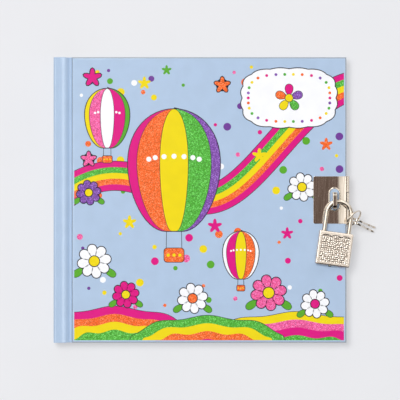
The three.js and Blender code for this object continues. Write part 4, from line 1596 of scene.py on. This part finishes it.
@dataclass
class CoverPrint:
    """A generic cheerful print: balloons, a wavy ribbon, hills, flowers, stars and spots."""

    top: float = 17.8
    step: float = 0.0038
    left: float = -67.8
    right: float = 77.6
    half: float = 75.6
    film: float = 0.006
    line: float = 0.5
    fine_line: float = 0.3
    rope: float = 0.15
    foot: float = -77.5
    seed: int = 4
    spots_wanted: int = 96
    spot_room: float = 3.2
    motifs: list[Motif] = field(default_factory=list)

    def build(self) -> None:
        """Draw every motif, then print one piece for each ink."""
        self.ribbon()
        self.hills()
        self.balloon(-14, 18, 31, RAINBOW)
        for x, y, size, inks in (
            (-50, 45, 15, (Ink.YELLOW, Ink.PINK_GLITTER, Ink.WHITE, Ink.MAGENTA, Ink.GREEN)),
            (22, -29, 12, (Ink.WHITE, Ink.MAGENTA, Ink.YELLOW, Ink.ORANGE_GLITTER, Ink.WHITE)),
        ):
            self.balloon(x, y, size, inks)
        self.label(48, 55)
        for x, y, size, petals, middle in (
            (-57, -33, 9.0, Ink.WHITE, Ink.YELLOW),
            (-40, -51, 7.0, Ink.MAGENTA, Ink.YELLOW),
            (-4, -53, 8.0, Ink.WHITE, Ink.ORANGE_GLITTER),
            (37, -50, 9.5, Ink.PINK_GLITTER, Ink.YELLOW),
            (62, -56, 7.5, Ink.WHITE, Ink.MAGENTA),
            (55, 7, 7.5, Ink.WHITE, Ink.YELLOW),
            (-60, 4, 6.5, Ink.PURPLE_GLITTER, Ink.YELLOW),
        ):
            self.flower(x, y, size, petals, middle)
        for x, y, size, ink in (
            (-58, 66, 5.0, Ink.MAGENTA), (-30, 63, 3.6, Ink.YELLOW),
            (12, 62, 4.4, Ink.ORANGE_GLITTER), (32, 24, 4.0, Ink.YELLOW),
            (-60, 22, 4.2, Ink.PINK_GLITTER), (-38, -12, 3.8, Ink.YELLOW),
            (8, -14, 4.0, Ink.MAGENTA), (68, 30, 3.6, Ink.ORANGE_GLITTER),
            (47, -18, 3.4, Ink.MAGENTA), (-18, 70, 2.8, Ink.GREEN),
            (72, -32, 4.2, Ink.YELLOW),
        ):
            self.outlined(ink, self.star(x, y, size), 15, self.line if size > 4 else 0.0)
        self.spots()
        self.press()

    def add(self, ink: Ink, outline: Sequence[Point], level: int) -> None:
        """Clip one shape to the cover and keep it.

        Args:
            ink: Its ink.
            outline: Its outline, counter-clockwise.
            level: Its place in the order of printing.
        """
        shape = list(outline)
        for axis, limit, sign in (
            (0, self.left, 1), (0, self.right, -1), (1, -self.half, 1), (1, self.half, -1)
        ):
            shape = self.clipped(shape, axis, limit, sign)
        if len(shape) > 2:
            self.motifs.append(Motif(ink, shape, level))

    @staticmethod
    def clipped(shape: list[Point], axis: int, limit: float, sign: int) -> list[Point]:
        """Cut a shape along one straight line.

        Args:
            shape: The outline to cut.
            axis: 0 for a line across x, 1 for one across y.
            limit: Where the line is.
            sign: 1 to keep what is above the limit, -1 to keep what is below.

        Returns:
            The outline that is left.
        """
        kept: list[Point] = []
        for here, after in zip(shape, shape[1:] + shape[:1]):
            a, b = sign * (here[axis] - limit), sign * (after[axis] - limit)
            if a >= 0:
                kept.append(here)
            if a * b < 0:
                share = a / (a - b)
                kept.append(tuple(p + (q - p) * share for p, q in zip(here, after)))
        return kept

    def outlined(self, ink: Ink, outline: Sequence[Point], level: int, width: float) -> None:
        """Add a shape with a thin dark line round it.

        Args:
            ink: The shape's ink.
            outline: Its outline, counter-clockwise.
            level: The line's place in the order of printing; the shape comes next.
            width: The line's width, or 0 for none.
        """
        if width:
            self.add(Ink.LINE, self.grown(outline, width), level)
        self.add(ink, outline, level + 1)

    @staticmethod
    def grown(outline: Sequence[Point], width: float) -> list[Point]:
        """Move an outline outwards.

        Args:
            outline: The outline, counter-clockwise.
            width: How far it moves.

        Returns:
            The moved outline.
        """
        count = len(outline)
        result = []
        for i, (x, y) in enumerate(outline):
            before, after = outline[i - 1], outline[(i + 1) % count]
            edge_in = Vector((x - before[0], y - before[1]))
            edge_out = Vector((after[0] - x, after[1] - y))
            first = Vector((edge_in.y, -edge_in.x)).normalized()
            second = Vector((edge_out.y, -edge_out.x)).normalized()
            normal = (first + second).normalized()
            reach = width / max(0.45, normal.dot(second))
            result.append((x + normal.x * reach, y + normal.y * reach))
        return result

    @staticmethod
    def star(x: float, y: float, size: float) -> list[Point]:
        """Outline a soft five-pointed star.

        Args:
            x: Its middle's place across.
            y: Its middle's place up.
            size: From its middle to a point.

        Returns:
            The outline.
        """
        steps = 40
        points = []
        for i in range(steps):
            a = 2 * math.pi * i / steps
            radius = size * (0.72 + 0.28 * math.cos(5 * a))
            angle = a + math.pi / 2
            points.append((x + radius * math.cos(angle), y + radius * math.sin(angle)))
        return points

    @staticmethod
    def disc(x: float, y: float, radius: float, steps: int = 24) -> list[Point]:
        """Outline a disc with a number of corners."""
        return arc(x, y, radius, 0, 360 * (1 - 1 / steps), steps - 1)

    @staticmethod
    def petal(
        x: float, y: float, turn: float, near: float, far: float, width: float
    ) -> list[Point]:
        """Outline one petal or leaf that points away from a middle.

        Args:
            x: The middle's place across.
            y: The middle's place up.
            turn: Direction of the petal in degrees.
            near: Where it starts.
            far: Where it ends.
            width: Half its greatest width.

        Returns:
            The outline.
        """
        steps = 20
        a = math.radians(turn)
        cos, sin = math.cos(a), math.sin(a)
        points = []
        for i in range(steps):
            t = 2 * math.pi * i / steps
            along = (near + far) / 2 - (far - near) / 2 * math.cos(t)
            across = -width * math.sin(t) * (1 - 0.25 * math.cos(t))
            points.append((x + along * cos - across * sin, y + along * sin + across * cos))
        return points

    def flower(self, x: float, y: float, size: float, petals: Ink, middle: Ink) -> None:
        """Print a daisy with its dark line, its middle and two leaves.

        Args:
            x: Its middle's place across.
            y: Its middle's place up.
            size: From its middle to a petal's tip.
            petals: The petals' ink.
            middle: The middle's ink.
        """
        for turn in (215, 325):
            leaf = self.petal(x, y, turn, size * 0.75, size * 1.55, size * 0.2)
            self.outlined(Ink.GREEN, leaf, 13, 0.25)
        for index in range(8):
            shape = self.petal(x, y, 45 * index + 10, size * 0.22, size, size * 0.26)
            self.add(Ink.LINE, self.grown(shape, self.line), 15)
            self.add(petals, shape, 16)
        self.outlined(middle, self.disc(x, y, size * 0.3), 17, self.line)

    def band(
        self, path: Callable[[float], Point], low: float, high: float, ink: Ink, level: int
    ) -> None:
        """Print a band that runs beside a path.

        Args:
            path: Gives the path's points for 0 to 1.
            low: Distance of its lower side from the path.
            high: Distance of its upper side.
            ink: Its ink.
            level: Its place in the order of printing.
        """
        steps, length = 90, 15
        sides: tuple[list[Point], list[Point]] = ([], [])
        for i in range(steps + 1):
            x, y = path(i / steps)
            u, v = path(i / steps + 0.001)
            along = Vector((u - x, v - y)).normalized()
            for side, distance in zip(sides, (low, high)):
                side.append((x - along.y * distance, y + along.x * distance))
        lower, upper = sides
        for i in range(0, steps, length):
            last = i + length + 1
            piece = lower[i:last] + upper[i:last][::-1]
            self.add(ink, piece, level)

    def ribbon(self) -> None:
        """Print the wavy ribbon of five bands that crosses the cover."""
        def path(t: float) -> Point:
            """Give the ribbon's lower side from left, 0, to right, 1."""
            return (-80 + 172 * t, -22 + 62 * t + 17 * math.sin(2 * math.pi * 1.25 * t + 0.5))

        inks = (Ink.MAGENTA, Ink.ORANGE_GLITTER, Ink.YELLOW, Ink.GREEN_GLITTER, Ink.MAGENTA)
        width, line = 3.1, 0.35
        self.band(path, -line, width * len(inks) + line, Ink.LINE, 1)
        for index, ink in enumerate(inks):
            self.band(path, width * index, width * (index + 1), ink, 2)

    def hills(self) -> None:
        """Print the striped hills along the foot of the cover."""
        stripe, steps = 4.2, 48
        for centre, radius, top, first, inks in (
            (-46, 44, -58, 3, (Ink.MAGENTA, Ink.ORANGE_GLITTER, Ink.YELLOW, Ink.GREEN_GLITTER)),
            (52, 50, -61, 3, (Ink.YELLOW, Ink.PINK_GLITTER, Ink.MAGENTA, Ink.GREEN_GLITTER)),
            (4, 42, -63, 8, (Ink.GREEN_GLITTER, Ink.YELLOW, Ink.ORANGE_GLITTER, Ink.MAGENTA)),
        ):
            for index, ink in enumerate(inks):
                drop = index * stripe
                shape = []
                for i in range(steps + 1):
                    a = math.pi * i / steps
                    rise = (top - self.foot - drop) * math.sin(a) + 0.8 * math.sin(9 * a)
                    x = centre + (radius - drop * 1.6) * math.cos(a)
                    shape.append((x, self.foot + rise))
                if top - self.foot - drop > 1:
                    line = self.fine_line if index == 0 else 0.0
                    self.outlined(ink, shape, first + index, line)

    def balloon(self, x: float, y: float, size: float, inks: Sequence[Ink]) -> None:
        """Print a striped balloon with its ropes and basket.

        Args:
            x: Its middle's place across.
            y: Its middle's place up.
            size: From its middle to its top.
            inks: Its stripes' inks, from left to right.
        """
        def side(t: float, share: float) -> Point:
            """Give a point from the top, 0, to the mouth, 1, at a share of the width."""
            a = math.pi * t
            wide = size * 0.82 * math.sin(a) * (1 - 0.22 * (1 - math.cos(a)) / 2) + size * 0.14 * t
            return (x + share * wide, y + size * math.cos(a) * (1 if t < 0.5 else 1.12))

        steps = 26
        whole = [side(i / steps, 1) for i in range(steps + 1)] + [
            side(i / steps, -1) for i in range(steps, -1, -1)
        ]
        self.add(Ink.LINE, self.grown(whole[::-1], 0.45), 17)
        count = len(inks)
        edges = [-1 + 2 * k / count for k in range(count + 1)]
        bulge = [math.sin(e * math.pi / 2) for e in edges]
        for k, ink in enumerate(inks):
            stripe = [side(i / steps, bulge[k]) for i in range(steps + 1)]
            stripe += [side(i / steps, bulge[k + 1]) for i in range(steps, -1, -1)]
            self.add(ink, stripe, 18)
        for e in bulge[1:-1]:
            line = [side(i / steps, e) for i in range(steps + 1)]
            left = [(u - 0.14, v) for u, v in line]
            right = [(u + 0.14, v) for u, v in line[::-1]]
            self.add(Ink.LINE, left + right, 19)
        low = y - size * 1.12
        basket = size * 0.17
        drop = size * 0.3
        for sign in (-1, 1):
            foot, head = x + sign * basket * 0.8, x + sign * size * 0.13
            rope = [(foot - self.rope, low - drop), (foot + self.rope, low - drop)]
            rope += [(head + self.rope, low), (head - self.rope, low)]
            self.add(Ink.LINE, rope, 16)
        bottom, corner = low - drop - basket * 1.4, basket * 0.3
        shape = rounded_box(x - basket, x + basket, bottom, low - drop, corner, 4)
        self.outlined(Ink.ORANGE_GLITTER, shape, 17, 0.35)
        for k in range(3):
            u = x - basket * 0.6 + k * basket * 0.6
            self.add(Ink.YELLOW, self.disc(u, low - drop - basket * 0.7, basket * 0.17, 12), 19)
        for k in range(7):
            a = math.pi * (0.16 + 0.68 * k / 6)
            u = x + size * 0.5 * math.cos(a)
            v = y + size * 0.08 + size * 0.1 * math.sin(a)
            self.add(Ink.WHITE, self.disc(u, v, size * 0.045, 14), 20)

    def label(self, x: float, y: float) -> None:
        """Print the blank label with its scalloped rim, a row of dots and a flower.

        Args:
            x: Its middle's place across.
            y: Its middle's place up.
        """
        def corner(a: float) -> float:
            """Give how far a rounded rectangle reaches past a circle at an angle."""
            power = 3.2
            return (abs(math.cos(a)) ** power + abs(math.sin(a)) ** power) ** (-1 / power)

        rim = []
        steps, dots = 112, 30
        for i in range(steps):
            a = 2 * math.pi * i / steps
            scallop = 1 + 0.035 * abs(math.sin(8 * a))
            u = x + 25 * scallop * corner(a) * math.cos(a)
            rim.append((u, y + 15.5 * scallop * corner(a) * math.sin(a)))
        self.outlined(Ink.WHITE, rim, 17, self.line)
        for i in range(dots):
            a = 2 * math.pi * i / dots
            u, v = x + 22 * corner(a) * math.cos(a), y + 12.7 * corner(a) * math.sin(a)
            self.add(RAINBOW[i % len(RAINBOW)], self.disc(u, v, 0.8, 12), 19)
        for index, ink in enumerate(RAINBOW):
            petal = self.petal(x, y, 72 * index + 90, 1.6, 7.4, 2.0)
            self.outlined(ink, petal, 19, self.fine_line)
        self.outlined(Ink.YELLOW, self.disc(x, y, 2.0), 21, self.fine_line)

    def spots(self) -> None:
        """Scatter small spots over the free ground of the print."""
        rng = random.Random(self.seed)
        inks = (
            Ink.MAGENTA, Ink.YELLOW, Ink.ORANGE_GLITTER, Ink.GREEN, Ink.PURPLE,
            Ink.PINK_GLITTER, Ink.WHITE,
        )
        placed: list[tuple[float, float, float]] = []
        while len(placed) < self.spots_wanted:
            x, y = rng.uniform(self.left + 2, self.right - 2), rng.uniform(-58, self.half - 3)
            radius = rng.choice((0.9, 1.2, 1.6, 2.1))
            by_lock = x > 56 and -40 < y < 16
            room = radius + self.spot_room
            if not by_lock and all(math.hypot(x - u, y - v) > room + r for u, v, r in placed):
                placed.append((x, y, radius))
                self.add(inks[len(placed) % len(inks)], self.disc(x, y, radius, 18), 0)

    def press(self) -> None:
        """Print the kept shapes, one closed piece for each ink."""
        for ink in Ink:
            shapes = [motif for motif in self.motifs if motif.ink is ink]
            if not shapes:
                continue
            clear_selection()
            counts = [len(motif.outline) for motif in shapes]
            bpy.ops.mesh.primitive_circle_add(vertices=counts[0], fill_type="NGON")
            piece = take_new(f"print_{ink.name.lower()}")
            with editing(piece):
                for count in counts[1:]:
                    bpy.ops.mesh.primitive_circle_add(vertices=count, fill_type="NGON")
            corners = [(u, v, motif.level) for motif in shapes for u, v in motif.outline]
            for vertex, (u, v, level) in zip(piece.data.vertices, corners):
                vertex.co = (u * MM, v * MM, (self.top + self.film + level * self.step) * MM)
            with editing(piece):
                bpy.ops.mesh.select_all(action="SELECT")
                bpy.ops.mesh.normals_make_consistent(inside=False)
                bpy.ops.mesh.quads_convert_to_tris(ngon_method="CLIP")
            for polygon in piece.data.polygons:
                if polygon.normal.z < 0:
                    polygon.flip()
            apply_modifier(piece, "SOLIDIFY", thickness=self.film * MM, offset=-1)
            dress(piece, "front_cover", ink.material(), "laminated_paper")


ROOM_GAIN = 4.0
LEFT_ROOM = (
    (-1.0, "9a948e", 0.7), (-0.75, "fffdf8", 0.8), (-0.5, "fffdf8", 1.1),
    (-0.36, "fffdf8", 4.0), (-0.16, "fffdf8", 4.0), (-0.1, "76635b", 1.0),
)
RIGHT_ROOM = (
    (0.085, "76635b", 0.95), (0.12, "fff8ee", 1.0), (0.2, "fff8ee", 1.1),
    (0.28, "fffdf8", 1.6), (0.45, "fffdf8", 1.6), (0.6, "8d847b", 0.6),
    (0.85, "8d847b", 0.6), (1.0, "fff8ee", 1.0),
)
ACROSS_ROOM = LEFT_ROOM + RIGHT_ROOM
ALONG_ROOM = (
    (-1.0, "2c2622", 1.0), (0.25, "2c2622", 1.0), (0.4, "fffdf8", 1.2),
    (0.8, "fffdf8", 0.9), (1.0, "8d847b", 0.8),
)
NEAR_ROOM = (
    (-1.0, "ffffff", 0.3), (-0.75, "ffffff", 0.12), (-0.35, "ffffff", 0.12),
    (-0.2, "ffffff", 4.0),
)


@dataclass
class Studio:
    """The floor, the lights and the camera above the diary."""

    view: float = 215.6
    distance: float = 1300.0
    level: float = 17.8
    sensor: float = 36.0
    floor_side: float = 6.0
    sky: float = 0.45
    lamp_place: tuple[float, float, float] = (-0.17, 0.17, 1.4)
    lamp_side: float = 0.34
    lamp_power: float = 13.0

    def build(self) -> None:
        """Set the floor, the world, the lamps and the camera."""
        self.floor()
        self.world()
        self.lamp("key_light", self.lamp_place, self.lamp_side, self.lamp_power)
        camera = bpy.data.objects.new("camera", bpy.data.cameras.new("camera"))
        bpy.context.scene.collection.objects.link(camera)
        camera.data.sensor_width = self.sensor
        camera.data.lens = self.sensor * self.distance / self.view
        camera.location = (0, 0, (self.level + self.distance) * MM)
        camera.data.clip_end = 10
        bpy.context.scene.camera = camera
        bpy.context.scene.view_settings.view_transform = "Standard"

    def floor(self) -> None:
        """Lay a plain pale floor under the diary."""
        clear_selection()
        bpy.ops.mesh.primitive_plane_add(size=self.floor_side, location=(0, 0, -TOUCHING))
        floor = take_new("floor")
        shading = Shading("pale_floor")
        grain = shading.noise(40)
        shading.colour(shading.ramp(grain, [(0.3, linear("aaaaac")), (0.7, linear("acacae"))]))
        shading.set(Roughness=0.9, Specular_IOR_Level=0.1)
        shading.set(Emission_Color=linear("ededef"), Emission_Strength=0.5)
        floor.data.materials.append(shading.material)

    def world(self) -> None:
        """Light the room evenly, with bright and dark sides that only glossy surfaces show."""
        world = bpy.data.worlds.new("studio")
        bpy.context.scene.world = world
        world.use_nodes = True
        tree = world.node_tree
        background = tree.nodes["Background"]
        background.inputs["Color"].default_value = (0.86, 0.88, 0.92, 1)
        background.inputs["Strength"].default_value = self.sky
        place = tree.nodes.new("ShaderNodeTexCoord").outputs["Generated"]
        split = tree.nodes.new("ShaderNodeSeparateXYZ")
        tree.links.new(place, split.inputs["Vector"])
        across = self.room(tree, split.outputs["X"], ACROSS_ROOM)
        along = self.room(tree, split.outputs["Y"], ALONG_ROOM)
        both = tree.nodes.new("ShaderNodeMixRGB")
        both.blend_type = "LIGHTEN"
        both.inputs["Fac"].default_value = 1.0
        tree.links.new(across, both.inputs["Color1"])
        tree.links.new(along, both.inputs["Color2"])
        near = tree.nodes.new("ShaderNodeMixRGB")
        near.blend_type = "MULTIPLY"
        near.inputs["Fac"].default_value = 1.0
        tree.links.new(both.outputs["Color"], near.inputs["Color1"])
        tree.links.new(self.room(tree, split.outputs["Y"], NEAR_ROOM), near.inputs["Color2"])
        mirrored = tree.nodes.new("ShaderNodeBackground")
        mirrored.inputs["Strength"].default_value = ROOM_GAIN
        tree.links.new(near.outputs["Color"], mirrored.inputs["Color"])
        mix = tree.nodes.new("ShaderNodeMixShader")
        rays = tree.nodes.new("ShaderNodeLightPath")
        tree.links.new(rays.outputs["Is Glossy Ray"], mix.inputs["Fac"])
        tree.links.new(background.outputs["Background"], mix.inputs[1])
        tree.links.new(mirrored.outputs["Background"], mix.inputs[2])
        tree.links.new(mix.outputs["Shader"], tree.nodes["World Output"].inputs["Surface"])

    @staticmethod
    def room(
        tree: bpy.types.NodeTree,
        share: bpy.types.NodeSocket,
        stops: Sequence[tuple[float, str, float]],
    ) -> bpy.types.NodeSocket:
        """Colour the room along one direction.

        Args:
            tree: The world's nodes.
            share: One part of the ray's direction, from -1 to 1.
            stops: Directions with their colours and how bright they are.

        Returns:
            The colour.
        """
        shift = tree.nodes.new("ShaderNodeMath")
        shift.operation = "MULTIPLY_ADD"
        tree.links.new(share, shift.inputs[0])
        shift.inputs[1].default_value = 0.5
        shift.inputs[2].default_value = 0.5
        ramp = tree.nodes.new("ShaderNodeValToRGB")
        tree.links.new(shift.outputs["Value"], ramp.inputs["Fac"])
        elements = ramp.color_ramp.elements
        while len(elements) < len(stops):
            elements.new(0.5)
        for element, (at, code, gain) in zip(elements, stops):
            element.position = at * 0.5 + 0.5
            element.color = (*(c * gain / ROOM_GAIN for c in linear(code)[:3]), 1.0)
        return ramp.outputs["Color"]

    def lamp(self, name: str, place: Sequence[float], size: float, power: float) -> None:
        """Hang one soft lamp that looks at the diary.

        Args:
            name: The lamp's name.
            place: Where it hangs, in metres.
            size: Side of its square, in metres.
            power: Its power in watts.
        """
        light = bpy.data.lights.new(name, "AREA")
        light.size = size
        light.energy = power
        lamp = bpy.data.objects.new(name, light)
        lamp.visible_glossy = False
        bpy.context.scene.collection.objects.link(lamp)
        lamp.location = place
        lamp.rotation_euler = (-Vector(place)).to_track_quat("-Z", "Y").to_euler()


def main() -> None:
    """Build the diary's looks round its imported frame."""
    logging.basicConfig(level=logging.INFO, format="%(message)s")
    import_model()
    assemblies = (Studio, Case, Leaves, CoverPrint, Hasp, Staple, Padlock, Keys)
    for assembly in (kind() for kind in assemblies):
        assembly.build()
        LOG.info("built %s", type(assembly).__name__)


if __name__ == "__main__":
    main()
